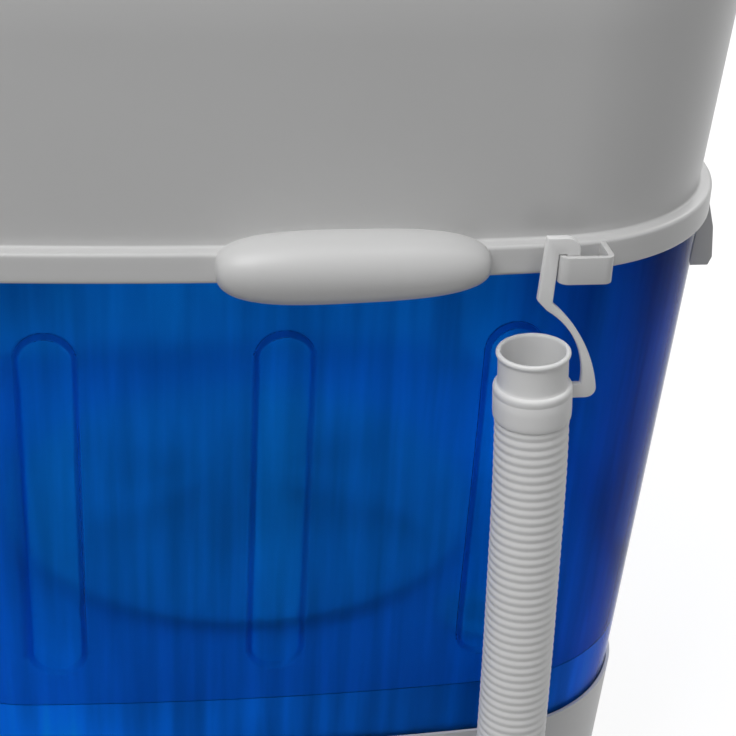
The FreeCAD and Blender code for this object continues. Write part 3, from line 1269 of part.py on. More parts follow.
def make_motor_grommets():
    return Part.makeCompound([rod(GROMMET_RADIUS, PLATE_TOP_Z, PLATE_TOP_Z + GROMMET_HEIGHT, x, y)
                              for x, y in bracket_leg_spots()])


def make_motor_bolts():
    spots = ring_points(MOTOR_BOLT_CIRCLE, MOTOR_BOLT_ANGLES, MOTOR_X, MOTOR_Y)
    length = BRACKET_THICKNESS + MOTOR_BOLT_INSIDE
    return Part.makeCompound([screw(x, y, BRACKET_Z, length, MOTOR_BOLT_RADIUS, 1) for x, y in spots])


def make_capacitor():
    high = PLATE_TOP_Z + CAPACITOR_HEIGHT
    can = rod(CAPACITOR_RADIUS, PLATE_TOP_Z, high, CAPACITOR_X, CAPACITOR_Y)
    tabs = []
    for side in (-1, 1):
        x0 = CAPACITOR_X + side * TERMINAL_SPREAD - TERMINAL_WIDTH / 2.0
        y0 = CAPACITOR_Y - TERMINAL_THICKNESS / 2.0
        tabs.append(block(x0, x0 + TERMINAL_WIDTH, y0, y0 + TERMINAL_THICKNESS, high, high + TERMINAL_HEIGHT))
    return can.fuse(tabs)


def make_capacitor_clip():
    outer = CAPACITOR_RADIUS + CLIP_WALL
    band = tube(outer, CAPACITOR_RADIUS, CLIP_Z, CLIP_Z + CLIP_HEIGHT, CAPACITOR_X, CAPACITOR_Y)
    near = CAPACITOR_Y + CAPACITOR_RADIUS + CLIP_WALL / 2.0
    strip = block(CAPACITOR_X - CLIP_HEIGHT / 2.0, CAPACITOR_X + CLIP_HEIGHT / 2.0, near, near + CLIP_WALL,
                  PLATE_TOP_Z, CLIP_Z + CLIP_HEIGHT)
    foot = block(CAPACITOR_X - CLIP_HEIGHT / 2.0, CAPACITOR_X + CLIP_HEIGHT / 2.0, near, near + CLIP_FOOT,
                 PLATE_TOP_Z, PLATE_TOP_Z + CLIP_WALL)
    return band.fuse([strip, foot]).removeSplitter()


# Wiring

def make_wire_conduit():
    inner = CONDUIT_RADIUS - CONDUIT_WALL
    return tube(CONDUIT_RADIUS, inner, TUB_FLOOR_Z - CONDUIT_BELOW, HARNESS_HIGH_Z - HARNESS_BEND,
                CONDUIT_X, CONDUIT_Y)


def harness_path():
    """From the motor up the conduit, round under the collar, and up to the timer."""
    high = HARNESS_HIGH_Z
    origin, across, up_slope, out = panel_frame()
    under = origin - across * KNOB_X - out * (PANEL_WALL + TIMER_HEIGHT)
    end_gap = SEAT_GAP + HARNESS_RADIUS * up_slope.z / up_slope.y
    points = [V(MOTOR_X, MOTOR_Y + MOTOR_RADIUS + SEAT_GAP, HARNESS_LOW_Z),
              V(MOTOR_X, CONDUIT_Y, HARNESS_LOW_Z),
              V(CONDUIT_X, CONDUIT_Y, HARNESS_LOW_Z),
              V(CONDUIT_X, CONDUIT_Y, high),
              V(HARNESS_SIDE_X, HARNESS_TURN_Y, high),
              V(under.x, under.y, high),
              under - UP * end_gap]
    return pipe_path(points, HARNESS_BEND / 2.0)


def make_wiring_harness():
    path = harness_path()
    solid = swept(path, HARNESS_RADIUS)
    print("harness volume over section times length",
          solid.Volume / (math.pi * HARNESS_RADIUS ** 2 * path.Length))
    return solid


def make_cord_gland():
    inset = tub_inset(GLAND_Z) - BASE_STEP
    wall = RIM_HALF_DEPTH - inset - (RIM_BOW_RADIUS - math.sqrt(RIM_BOW_RADIUS ** 2 - GLAND_X ** 2))
    slack = GLAND_FLANGE_RADIUS * TUB_SLOPE + SEAT_GAP * 2
    body = revolved([
        (GLAND_BORE_RADIUS, -GLAND_NECK_LENGTH), (GLAND_NECK_RADIUS, -GLAND_NECK_LENGTH),
        (GLAND_NECK_RADIUS, slack), (GLAND_FLANGE_RADIUS, slack),
        (GLAND_FLANGE_RADIUS - GLAND_TAPER, slack + GLAND_FLANGE_THICKNESS),
        (GLAND_BORE_RADIUS, slack + GLAND_FLANGE_THICKNESS)])
    return framed(body, V(GLAND_X, wall, GLAND_Z), V(1, 0, 0), V(0, 0, -1), V(0, 1, 0))


# Cord-wrap hooks

def make_cord_hook():
    """J-shaped hook hanging from the skirt, its open side towards the tub."""
    corner, side, back = corner_centre()
    middle = CORD_HOOK_X + CORD_HOOK_WIDTH / 2.0
    skirt_y = corner.y + math.sqrt(RIM_CORNER_RADIUS ** 2 - (middle - corner.x) ** 2)
    outer = skirt_y + CORD_HOOK_REACH
    inner = outer - CORD_HOOK_WALL
    low = SKIRT_BOTTOM_Z - CORD_HOOK_DROP
    slope = SKIRT_BOTTOM_Z - CORD_HOOK_SLOPE_DROP
    root = skirt_y - SKIRT_THICKNESS

    def p(y, z):
        return V(0, y, z)

    points = [p(skirt_y, SKIRT_BOTTOM_Z), p(outer, slope), p(outer, low + CORD_HOOK_WALL),
              p(outer - CORD_HOOK_WALL / 2.0, low), p(outer - CORD_HOOK_LIP, low),
              p(outer - CORD_HOOK_LIP, low + CORD_HOOK_WALL), p(inner, low + CORD_HOOK_WALL),
              p(inner, slope - CORD_HOOK_BEND), p(root, SKIRT_BOTTOM_Z - CORD_HOOK_WALL),
              p(root, SKIRT_BOTTOM_Z)]
    hook = prism(points, V(CORD_HOOK_WIDTH, 0, 0))
    hook.translate(V(CORD_HOOK_X, 0, 0))
    return hook


def make_cord_hooks():
    hook = make_cord_hook()
    return Part.makeCompound([hook, mirrored_x(hook)])


# Every piece under its own name
PIECES = {
    "tub": make_tub(),
    "rim_gasket": make_rim_gasket(),
    "head_housing": make_head_housing(),
    "mouth_collar": make_mouth_collar(),
    "lid": make_lid(),
    "lid_hinge_pins": make_lid_hinge_pins(),
    "lid_bumpers": make_lid_bumpers(),
    "control_panel": make_control_panel(),
    "timer_knob": make_knob(-KNOB_X),
    "timer_spindle": make_spindle(-KNOB_X),
    "wash_timer": make_unit(-KNOB_X, TIMER_WIDTH, TIMER_DEPTH, TIMER_HEIGHT),
    "selector_knob": make_knob(KNOB_X),
    "selector_spindle": make_spindle(KNOB_X),
    "selector_switch": make_unit(KNOB_X, SWITCH_WIDTH, SWITCH_DEPTH, SWITCH_HEIGHT),
    "carry_handle_right": make_handle(),
    "carry_handle_left": mirrored_x(make_handle()),
    "hose_pocket": make_hose_pocket(),
    "hose_end": make_hose_end(),
    "drain_hose": make_drain_hose(),
    "hose_clamp": make_hose_clamp(),
    "drain_elbow": make_drain_elbow(),
    "drain_pipe": make_drain_pipe(),
    "drain_strainer": make_drain_strainer(),
    "base_housing": make_base_housing(),
    "base_plate": make_base_plate(),
    "base_screws": make_base_screws(),
    "feet": make_feet(),
    "pulsator": make_pulsator(),
    "pulsator_cap": make_pulsator_cap(),
    "drive_shaft": make_drive_shaft(),
    "bearing_housing": make_bearing_housing(),
    "lower_bush": make_bush(BEARING_BOTTOM_Z),
    "upper_bush": make_bush(BEARING_TOP_Z - SEAL_HEIGHT - BUSH_LENGTH),
    "shaft_seal": make_shaft_seal(),
    "bearing_screws": make_bearing_screws(),
    "driven_pulley": make_driven_pulley(),
    "pulley_nut": make_pulley_nut(),
    "drive_belt": make_drive_belt(),
    "motor_pulley": make_motor_pulley(),
    "motor_shaft": make_motor_shaft(),
    "motor_body": make_motor_body(),
    "motor_bracket": make_motor_bracket(),
    "motor_grommets": make_motor_grommets(),
    "motor_bolts": make_motor_bolts(),
    "capacitor": make_capacitor(),
    "capacitor_clip": make_capacitor_clip(),
    "wire_conduit": make_wire_conduit(),
    "wiring_harness": make_wiring_harness(),
    "cord_gland": make_cord_gland(),
    "cord_hooks": make_cord_hooks(),
}

os.makedirs("parts", exist_ok=True)
for name, shape in PIECES.items():
    print(name, "valid" if shape.isValid() else "INVALID", len(shape.Solids), round(shape.Volume))
    shape.exportStep("parts/" + name + ".step")
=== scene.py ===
import json
import math

import bmesh
import bpy
from mathutils import Matrix, Vector


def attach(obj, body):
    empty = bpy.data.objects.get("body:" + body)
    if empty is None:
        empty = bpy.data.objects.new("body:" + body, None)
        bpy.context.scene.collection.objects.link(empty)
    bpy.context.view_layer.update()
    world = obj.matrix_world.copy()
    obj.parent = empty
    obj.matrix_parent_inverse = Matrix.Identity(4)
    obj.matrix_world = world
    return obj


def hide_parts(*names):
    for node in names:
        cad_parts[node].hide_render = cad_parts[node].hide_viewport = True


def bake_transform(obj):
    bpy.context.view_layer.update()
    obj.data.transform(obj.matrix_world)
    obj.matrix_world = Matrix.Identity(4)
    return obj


# Small single-tub washing machine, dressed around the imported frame.
# Lengths below are in millimetres in the frame's axes, and become metres when a mesh is made.

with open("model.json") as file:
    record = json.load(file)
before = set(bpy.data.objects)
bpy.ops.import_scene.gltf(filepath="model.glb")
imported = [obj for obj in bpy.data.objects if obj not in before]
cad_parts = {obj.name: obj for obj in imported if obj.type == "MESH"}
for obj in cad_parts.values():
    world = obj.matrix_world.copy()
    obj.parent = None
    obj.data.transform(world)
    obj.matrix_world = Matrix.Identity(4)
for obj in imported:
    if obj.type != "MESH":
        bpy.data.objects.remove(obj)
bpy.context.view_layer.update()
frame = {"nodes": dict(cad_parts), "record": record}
nodes = frame["nodes"]
MM = 0.001

# Camera at the photograph's viewing angle
IMAGE_SIZE = 736.0
FOCAL_PIXELS = 1797.488
SENSOR_WIDTH = 36.0
CAMERA_PLACE = (0.75771, -0.068185, 0.607861)
CAMERA_RIGHT = (0.14567, 0.98836, 0.04394)
CAMERA_UP = (-0.45770, 0.02795, 0.88866)
CAMERA_BACK = (0.87709, -0.14957, 0.45645)

# Plan outline of the rim
RIM_HALF_WIDTH = 185.0
RIM_HALF_DEPTH = 182.0
RIM_BOW_RADIUS = 1345.0
RIM_CORNER_RADIUS = 86.0

# Tub
TUB_SEAT_Z = 121.0
TUB_SPLIT_Z = 149.0
TUB_TOP_Z = 352.0
TUB_FLOOR_Z = 140.0
TUB_FLOOR_TOP_Z = 144.0
TUB_WALL = 2.6
TUB_INSET = 2.9
TUB_SLOPE = math.tan(math.radians(4.0))
TUB_HOLE_RADIUS = 17.3
FLOOR_FILLET = 4.0
FLUTE_OFFSETS = (-86.5, 0.0, 86.5)
FLUTE_RADIUS = 9.8
FLUTE_DEPTH = 3.5
FLUTE_LOW_Z = 166.0
FLUTE_HIGH_Z = 320.2
FLUTE_BLEND = 1.3
FLUTE_LIP = 0.3
FLUTE_INNER_GROW = 1.9
FLUTE_INNER_DEPTH = 2.8
FLUTE_MARGIN = 4.4
TUB_FOOT_LAYER = 2.1
TUB_LIP_ROUND = 0.4

# Head
SKIRT_BOTTOM_Z = 344.3
LEDGE_Z = 356.3
LEDGE_UNDER_Z = 353.6
SKIRT_THICKNESS = 1.8
SKIRT_EDGE_ROUND = 0.4
SKIRT_FLAT_INSET = 4.0
LEDGE_WIDTH = 5.3
LEDGE_FALL = 0.3
LEDGE_ROUND = 1.6
COVE_RADIUS = 1.0
HEAD_WALL = 2.6
HEAD_MIDDLE_Z = 400.0
FLARE_SLOPE = math.tan(math.radians(4.3))
DECK_Z = 455.0
DECK_UNDER_Z = 452.0
DECK_ROUND = 4.0
MOUTH_Y = 25.0
MOUTH_RADIUS = 118.0
COLLAR_WALL = 2.6
COLLAR_FOOT_Z = 413.0
COLLAR_ROUND = 0.8
COAMING_TOP_Z = 460.0
COAMING_ROUND = 0.9
COAMING_FILLET = 2.0
HINGE_PLACES = (-48.0, -36.0, 36.0, 48.0)
HINGE_EAR_THICKNESS = 4.0
HINGE_EYE_RADIUS = 5.0
HINGE_Y = 158.2
HINGE_Z = 460.5

# Control panel and its knobs
PANEL_MIDDLE = Vector((0.0, -143.05, 474.0))
PANEL_OUT = Vector((0.0, -0.30741, 0.95158))
PANEL_UP = Vector((0.0, 0.95158, 0.30741))
KNOB_X = 62.0
KNOB_RADIUS = 21.0
KNOB_FOOT = 0.8
KNOB_TOP = 9.8
KNOB_CROWN = 19.8
KNURL_COUNT = 36
KNURL_DEPTH = 0.35
KNOB_LINE_PLACE = 11.0
KNOB_LINE_DEPTH = 0.5
KNOB_LINE_LIFT = 0.15
MARK_LIFT = 0.12
TICK_INNER = 23.4
TICK_SHORT_REACH = 25.2
TICK_SHORT_WIDTH = 0.5
TICK_LONG_REACH = 26.2
TICK_LONG_WIDTH = 0.9
NUMBER_RADIUS = 29.4
NUMBER_SIZE = 5.6

# Cord-wrap hooks
CORD_HOOK_X = (98.0, 110.0)
CORD_HOOK_DROP = 30.0
CORD_HOOK_THICKNESS = 3.4
CORD_HOOK_BACK_Y = 176.2
CORD_HOOK_ROOT_Y = 178.0
CORD_HOOK_BEND_Y = 181.7
CORD_HOOK_BEND_Z = 331.0
CORD_HOOK_TIP_Y = 183.0
CORD_HOOK_END_Y = 175.5
CORD_HOOK_WEB = 1.8
CORD_HOOK_WEB_EDGE = 0.2
CORD_HOOK_WEB_TOP_Y = 175.0
CORD_HOOK_WEB_FOOT_Y = 173.4

# Grips, hose pocket and hook
GRIP_CENTRE = (186.0, 22.6, 351.0)
GRIP_SEMI = (14.5, 49.0, 12.7)
GRIP_POWER = 3.0
GRIP_WALL = 2.8
GRIP_FOOT_Z = 338.9
GRIP_DROP = 0.14
GRIP_SKEW = 1.74
GRIP_STATIONS = 64
GRIP_STEPS = 30
POCKET_BACK_X = 178.0
POCKET_LOW_Y = 95.6
POCKET_HIGH_Y = 115.6
POCKET_FRONT_X = 193.0
POCKET_WALL = 2.2
POCKET_CORNER = 3.6
POCKET_INNER_CORNER = 0.7
POCKET_FOOT_Z = 344.9
POCKET_TOP_Z = 355.3
HOOK_BACK_X = 187.3
HOOK_FRONT_X = 190.4
HOOK_TOP_Z = 362.0
HOOK_STRAP_WIDTH = 4.8
HOOK_TONGUE_WIDTH = 5.0
HOOK_TONGUE_LENGTH = 7.4
HOOK_CROWN_ROUND = 5.0
HOOK_ELBOW_DROP = 19.8
HOOK_FOOT_DROP = 38.8
HOOK_FOOT_REACH = 19.0
HOOK_FOOT_WIDTH = 6.0
HOOK_FOOT_HEIGHT = 5.6
HOOK_FOOT_ROUND = 3.8
HOOK_ROOT_REACH = 12.6

# Hose
HOSE_MOUTH = Vector((195.0, 87.9, 320.6))
HOSE_UP = Vector((0.022, -0.033, 1.0)).normalized()
SLEEVE_UP = Vector((0.022, -0.069, 1.0)).normalized()
HOSE_TOP = -15.9
HOSE_FOOT = -247.36
HOSE_BOW = 1.75
HOSE_NECK_RADIUS = 13.5
HOSE_RIB_RADIUS = 13.9
HOSE_BORE_RADIUS = 10.6
RIB_TOP = -27.6
RIB_COUNT = 56
RIB_PITCH = 3.68
RIB_RINGS = 10
HOSE_SEGMENTS = 56

# Noise values over which a look varies
NOISE_SPAN = (0.3, 0.7)

# Floor, world and lights, in metres and watts
FLOOR_RADIUS = 6.0
FLOOR_GREY = 0.34
FLOOR_FADE = (0.6, 4.0)
FLOOR_GLOW = (0.78, 0.99)
WORLD_LEVEL = 0.22
LIGHTS = (
    ("key", (1.05, -0.95, 2.2), (0.05, 0.0, 0.3), 1.2, 28.5),
    ("overhead", (0.0, 0.1, 2.4), (0.0, 0.0, 0.3), 2.0, 18.0),
    ("rear", (-1.2, 1.0, 1.6), (0.0, 0.0, 0.25), 1.4, 12.0),
)


def tub_inset(z):
    return TUB_INSET + (SKIRT_BOTTOM_Z - z) * TUB_SLOPE


def head_inset(z):
    return LEDGE_WIDTH - (z - LEDGE_Z) * FLARE_SLOPE


def smooth_step(t):
    t = min(1.0, max(0.0, t))
    return t * t * (3.0 - 2.0 * t)


# Materials

def new_material(name, colour, roughness):
    material = bpy.data.materials.new(name)
    material.use_nodes = True
    shader = material.node_tree.nodes["Principled BSDF"]
    shader.inputs["Base Color"].default_value = (*colour, 1.0)
    shader.inputs["Roughness"].default_value = roughness
    return material, shader


def add_noise(material, scale, detail=3.0, stretch=(1.0, 1.0, 1.0)):
    """Noise texture on the object's own coordinates."""
    tree = material.node_tree
    coordinates = tree.nodes.new("ShaderNodeTexCoord")
    mapping = tree.nodes.new("ShaderNodeMapping")
    mapping.inputs["Scale"].default_value = stretch
    noise = tree.nodes.new("ShaderNodeTexNoise")
    noise.inputs["Scale"].default_value = scale
    noise.inputs["Detail"].default_value = detail
    tree.links.new(coordinates.outputs["Object"], mapping.inputs["Vector"])
    tree.links.new(mapping.outputs["Vector"], noise.inputs["Vector"])
    return noise


def add_range(material, source, socket, low, high):
    """Maps a texture onto a range of one of the shader's values."""
    tree = material.node_tree
    ramp = tree.nodes.new("ShaderNodeMapRange")
    ramp.inputs["From Min"].default_value, ramp.inputs["From Max"].default_value = NOISE_SPAN
    ramp.inputs["To Min"].default_value = low
    ramp.inputs["To Max"].default_value = high
    tree.links.new(source.outputs["Fac"], ramp.inputs["Value"])
    tree.links.new(ramp.outputs["Result"], socket)


def add_tint(material, shader, source, low, high):
    """Lets the base colour drift between two close shades."""
    tree = material.node_tree
    ramp = tree.nodes.new("ShaderNodeValToRGB")
    for element, place, colour in zip(ramp.color_ramp.elements, NOISE_SPAN, (low, high)):
        element.position = place
        element.color = (*colour, 1.0)
    tree.links.new(source.outputs["Fac"], ramp.inputs["Fac"])
    tree.links.new(ramp.outputs["Color"], shader.inputs["Base Color"])


def add_bump(material, shader, source, strength, distance):
    tree = material.node_tree
    bump = tree.nodes.new("ShaderNodeBump")
    bump.inputs["Strength"].default_value = strength
    bump.inputs["Distance"].default_value = distance
    tree.links.new(source.outputs["Fac"], bump.inputs["Height"])
    tree.links.new(bump.outputs["Normal"], shader.inputs["Normal"])


def shade(colour, factor):
    return tuple(min(1.0, channel * factor) for channel in colour)


def plastic(name, colour, roughness, spread=0.06, grain=900.0, grain_depth=0.00002):
    """Moulded plastic: fine texture, uneven gloss and a slight drift of shade."""
    material, shader = new_material(name, colour, roughness)
    broad = add_noise(material, 7.0)
    add_range(material, broad, shader.inputs["Roughness"], roughness - spread, roughness + spread)
    add_tint(material, shader, broad, shade(colour, 0.97), shade(colour, 1.02))
    fine = add_noise(material, grain, 2.0)
    add_bump(material, shader, fine, 0.25, grain_depth)
    return material


def add_shade(material, shader, value, span, factors):
    """Scales the base colour by a factor that follows a value over a span."""
    tree = material.node_tree
    ramp = tree.nodes.new("ShaderNodeMapRange")
    ramp.interpolation_type = "SMOOTHSTEP"
    ramp.inputs["From Min"].default_value, ramp.inputs["From Max"].default_value = span
    ramp.inputs["To Min"].default_value, ramp.inputs["To Max"].default_value = factors
    scaled = tree.nodes.new("ShaderNodeVectorMath")
    scaled.operation = "SCALE"
    base = shader.inputs["Base Color"]
    tree.links.new(value, ramp.inputs["Value"])
    tree.links.new(base.links[0].from_socket, scaled.inputs["Vector"])
    tree.links.new(ramp.outputs["Result"], scaled.inputs["Scale"])
    tree.links.new(scaled.outputs["Vector"], base)


def height_value(material):
    tree = material.node_tree
    coordinates = tree.nodes.new("ShaderNodeTexCoord")
    split = tree.nodes.new("ShaderNodeSeparateXYZ")
    tree.links.new(coordinates.outputs["Object"], split.inputs["Vector"])
    return split.outputs["Z"]


def clear_plastic(name, colour, body_colour, density, gloss_roughness, frost_roughness, streaked):
    """See-through moulded plastic, darker where it is thicker, with the faint waves of a thin moulding.

    The attribute frost on a mesh marks its textured inner side. A streaked wall shows upright flow lines and
    broad clouds, and gets a painted shade that darkens it towards its rim, under the head's skirt.
    """
    material, shader = new_material(name, colour, gloss_roughness)
    shader.inputs["Transmission Weight"].default_value = 0.97
    shader.inputs["IOR"].default_value = 1.06
    shader.inputs["Specular Tint"].default_value = (0.4, 0.6, 1.0, 1.0)
    tree = material.node_tree
    depth = tree.nodes.new("ShaderNodeVolumeAbsorption")
    depth.inputs["Color"].default_value = (*body_colour, 1.0)
    depth.inputs["Density"].default_value = density
    tree.links.new(depth.outputs["Volume"], tree.nodes["Material Output"].inputs["Volume"])
    frost = tree.nodes.new("ShaderNodeAttribute")
    frost.attribute_name = "frost"
    ramp = tree.nodes.new("ShaderNodeMapRange")
    ramp.inputs["To Min"].default_value = gloss_roughness
    ramp.inputs["To Max"].default_value = frost_roughness
    tree.links.new(frost.outputs["Fac"], ramp.inputs["Value"])
    tree.links.new(ramp.outputs["Result"], shader.inputs["Roughness"])
    if streaked:
        streaks = add_noise(material, 165.0, 2.0, (1.0, 1.0, 0.03))
        add_tint(material, shader, streaks, shade(colour, 0.8), shade(colour, 1.12))
        clouds = add_noise(material, 8.0, 2.0, (1.0, 1.0, 0.8))
        add_shade(material, shader, clouds.outputs["Fac"], (0.36, 0.64), (0.9, 1.34))
        # Painted shade: the base colour darkens towards the rim, standing in for the shadow under the head's
        # skirt.
        add_shade(material, shader, height_value(material), (0.285, 0.345), (1.0, 0.6))
    waves = add_noise(material, 26.0, 1.0, (1.0, 1.0, 0.4))
    add_bump(material, shader, waves, 0.12, 0.0015)
    return material


def metal(name, colour, roughness, scale, stretch=(1.0, 1.0, 1.0)):
    material, shader = new_material(name, colour, roughness)
    shader.inputs["Metallic"].default_value = 1.0
    marks = add_noise(material, scale, 4.0, stretch)
    add_range(material, marks, shader.inputs["Roughness"], roughness - 0.08, roughness + 0.12)
    add_tint(material, shader, marks, shade(colour, 0.88), shade(colour, 1.05))
    return material


def rubber(name, colour):
    material, shader = new_material(name, colour, 0.7)
    grain = add_noise(material, 450.0, 4.0)
    add_range(material, grain, shader.inputs["Roughness"], 0.6, 0.8)
    add_tint(material, shader, grain, shade(colour, 0.8), shade(colour, 1.3))
    add_bump(material, shader, grain, 0.4, 0.0001)
    return material


WHITE = (0.64, 0.64, 0.638)
BLUE = (0.06, 0.57, 0.86)
DEEP_BLUE = (0.03, 0.38, 0.74)
FLOOR_BLUE = (0.08, 0.70, 0.90)

looks = {
    "housing_white": plastic("housing_white", WHITE, 0.36),
    "tub_blue": clear_plastic("tub_blue", BLUE, DEEP_BLUE, 345.0, 0.08, 0.58, True),
    "lid_blue": clear_plastic("lid_blue", BLUE, DEEP_BLUE, 300.0, 0.06, 0.06, False),
    "seal_grey": rubber("seal_grey", (0.45, 0.46, 0.47)),
    "steel": metal("steel", (0.62, 0.62, 0.63), 0.3, 140.0),
    "rubber_black": rubber("rubber_black", (0.025, 0.025, 0.027)),
    "panel_grey": plastic("panel_grey", (0.62, 0.64, 0.66), 0.42),
    "knob_blue": plastic("knob_blue", (0.015, 0.16, 0.47), 0.3),
    "unit_cream": plastic("unit_cream", (0.66, 0.62, 0.5), 0.5),
    "hose_white": plastic("hose_white", (0.85, 0.85, 0.847), 0.54),
    "pulsator_white": plastic("pulsator_white", (0.80, 0.81, 0.82), 0.34),
    "zinc_sheet": metal("zinc_sheet", (0.58, 0.6, 0.62), 0.42, 30.0),
    "cast_alloy": metal("cast_alloy", (0.5, 0.5, 0.51), 0.5, 260.0),
    "bronze": metal("bronze", (0.55, 0.36, 0.16), 0.42, 160.0),
    "pulley_black": plastic("pulley_black", (0.03, 0.03, 0.032), 0.48),
    "motor_grey": metal("motor_grey", (0.24, 0.25, 0.27), 0.5, 120.0),
    "wire_black": rubber("wire_black", (0.02, 0.02, 0.022)),
}
frosted_blue = plastic("tub_blue_frosted", FLOOR_BLUE, 0.45)


# Mesh helpers

def dress_mesh(name, mesh, look, angle):
    """Object of a mesh in its finish, smooth except over edges sharper than an angle."""
    mesh.polygons.foreach_set("use_smooth", [True] * len(mesh.polygons))
    mesh.set_sharp_from_angle(angle=math.radians(angle))
    mesh.materials.append(look)
    piece = bpy.data.objects.new(name, mesh)
    bpy.context.scene.collection.objects.link(piece)
    return piece


def finish_mesh(name, mesh, slot, body, replaces=(), angle=40.0, look=None):
    """Dresses a mesh and puts it on its body."""
    piece = dress_mesh(name, mesh, look or looks[slot], angle)
    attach(piece, body)
    if replaces:
        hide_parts(*replaces)
    return piece


def mesh_from(name, points, faces):
    mesh = bpy.data.meshes.new(name)
    mesh.from_pydata([tuple(c * MM for c in point) for point in points], [], faces)
    mesh.validate()
    mesh.update()
    return mesh


def mesh_of(name, work):
    """Mesh of a finished bmesh, which is then freed."""
    mesh = bpy.data.meshes.new(name)
    work.to_mesh(mesh)
    work.free()
    return mesh


def curve_mesh(curve):
    """Mesh of a curve or figure, which is then removed."""
    holder = bpy.data.objects.new(curve.name, curve)
    mesh = bpy.data.meshes.new_from_object(holder)
    bpy.data.objects.remove(holder)
    bpy.data.curves.remove(curve)
    return mesh


def ring_skin(rings, closed=True):
    """Faces between rings of equal count, in order; closed joins the last ring to the first."""
    count = len(rings[0])
    points = [point for ring in rings for point in ring]
    faces = []
    pairs = [(k, k + 1) for k in range(len(rings) - 1)]
    if closed:
        pairs.append((len(rings) - 1, 0))
    for low, high in pairs:
        for k in range(count):
            after = (k + 1) % count
            faces.append((low * count + k, low * count + after, high * count + after, high * count + k))
    return points, faces


def capped_mesh(name, rings):
    """Skin over rings in order, with a face over each end."""
    points, faces = ring_skin(rings, closed=False)
    count = len(rings[0])
    faces.append(tuple(reversed(range(count))))
    faces.append(tuple(range(len(points) - count, len(points))))
    return mesh_from(name, points, faces)


def join_meshes(name, meshes):
    """One mesh out of several, each of which is then removed."""
    work = bmesh.new()
    for mesh in meshes:
        work.from_mesh(mesh)
        bpy.data.meshes.remove(mesh)
    bmesh.ops.recalc_face_normals(work, faces=work.faces)
    return mesh_of(name, work)


def turned_ring(middle, up, radius, segments):
    """Ring of points round a middle, square to a direction."""
    side = Vector((0, 1, 0)).cross(up).normalized()
    across = up.cross(side)
    ring = []
    for k in range(segments):
        angle = 2 * math.pi * k / segments
        ring.append(middle + (side * math.cos(angle) + across * math.sin(angle)) * radius)
    return ring


def arc_points(centre, radius, start, end, steps):
    points = []
    for k in range(steps + 1):
        angle = math.radians(start + (end - start) * k / steps)
        points.append((centre[0] + radius * math.cos(angle), centre[1] + radius * math.sin(angle)))
    return points


def three_point_arc(a, b, c, steps):
    """Points on the circle through three points, from the first to the last."""
    ax, ay = a
    bx, by = b
    cx, cy = c
    d = 2 * (ax * (by - cy) + bx * (cy - ay) + cx * (ay - by))
    a2, b2, c2 = ax * ax + ay * ay, bx * bx + by * by, cx * cx + cy * cy
    ux = (a2 * (by - cy) + b2 * (cy - ay) + c2 * (ay - by)) / d
    uy = (a2 * (cx - bx) + b2 * (ax - cx) + c2 * (bx - ax)) / d
    radius = math.hypot(ax - ux, ay - uy)
    start = math.atan2(ay - uy, ax - ux)
    middle = math.atan2(by - uy, bx - ux)
    end = math.atan2(cy - uy, cx - ux)
    turn = (end - start) % (2 * math.pi)
    if (middle - start) % (2 * math.pi) > turn:
        turn -= 2 * math.pi
    points = []
    for k in range(steps + 1):
        angle = start + turn * k / steps
        points.append((ux + radius * math.cos(angle), uy + radius * math.sin(angle)))
    return points


def bevelled_prism(name, outline, place, low, high, width, segments=3):
    """Prism of a plane outline between two levels, all its edges rounded.

    place turns an outline point and a level into a point of the frame.
    """
    work = bmesh.new()
    bottom = [work.verts.new([c * MM for c in place(p, low)]) for p in outline]
    top = [work.verts.new([c * MM for c in place(p, high)]) for p in outline]
    work.faces.new(list(reversed(bottom)))
    work.faces.new(top)
    for k in range(len(outline)):
        after = (k + 1) % len(outline)
        work.faces.new((bottom[k], bottom[after], top[after], top[k]))
    bmesh.ops.recalc_face_normals(work, faces=work.faces)
    work.normal_update()
    sharp = [e for e in work.edges if e.calc_face_angle(0.0) > math.radians(28.0)]
    bmesh.ops.bevel(work, geom=sharp, offset=width * MM, segments=segments, profile=0.5, affect="EDGES",
                    clamp_overlap=True)
    return mesh_of(name, work)


def along_x(point, level):
    """Place of an outline point in the plane of Y and Z, at a level along X."""
    return (level, point[0], point[1])


# Stations round the rim's outline

def corner_centre():
    side = Vector((RIM_HALF_WIDTH - RIM_BOW_RADIUS, 0.0))
    back = Vector((0.0, RIM_HALF_DEPTH - RIM_BOW_RADIUS))
    middle = (side + back) / 2.0
    half = (back - side).length / 2.0
    reach = RIM_BOW_RADIUS - RIM_CORNER_RADIUS
    across = (back - side).normalized()
    outward = Vector((-across.y, across.x))
    return middle + outward * math.sqrt(reach ** 2 - half ** 2), side, back


def side_steps(half, coarse, dense):
    """Places along a side from -half to half, close together round the flutes when dense is set."""
    places = set()
    count = max(2, round(2 * half / coarse))
    spots = [-half + 2 * half * k / count for k in range(count + 1)]
    if dense is None:
        return spots
    reach = FLUTE_RADIUS + FLUTE_MARGIN
    for spot in spots:
        if all(abs(spot - offset) > reach + 0.3 * coarse for offset in FLUTE_OFFSETS):
            places.add(round(spot, 4))
    steps = round(2 * reach / dense)
    for offset in FLUTE_OFFSETS:
        for k in range(steps + 1):
            spot = offset - reach + 2 * reach * k / steps
            if abs(spot) < half:
                places.add(round(spot, 4))
    places.add(round(-half, 4))
    places.add(round(half, 4))
    return sorted(places)


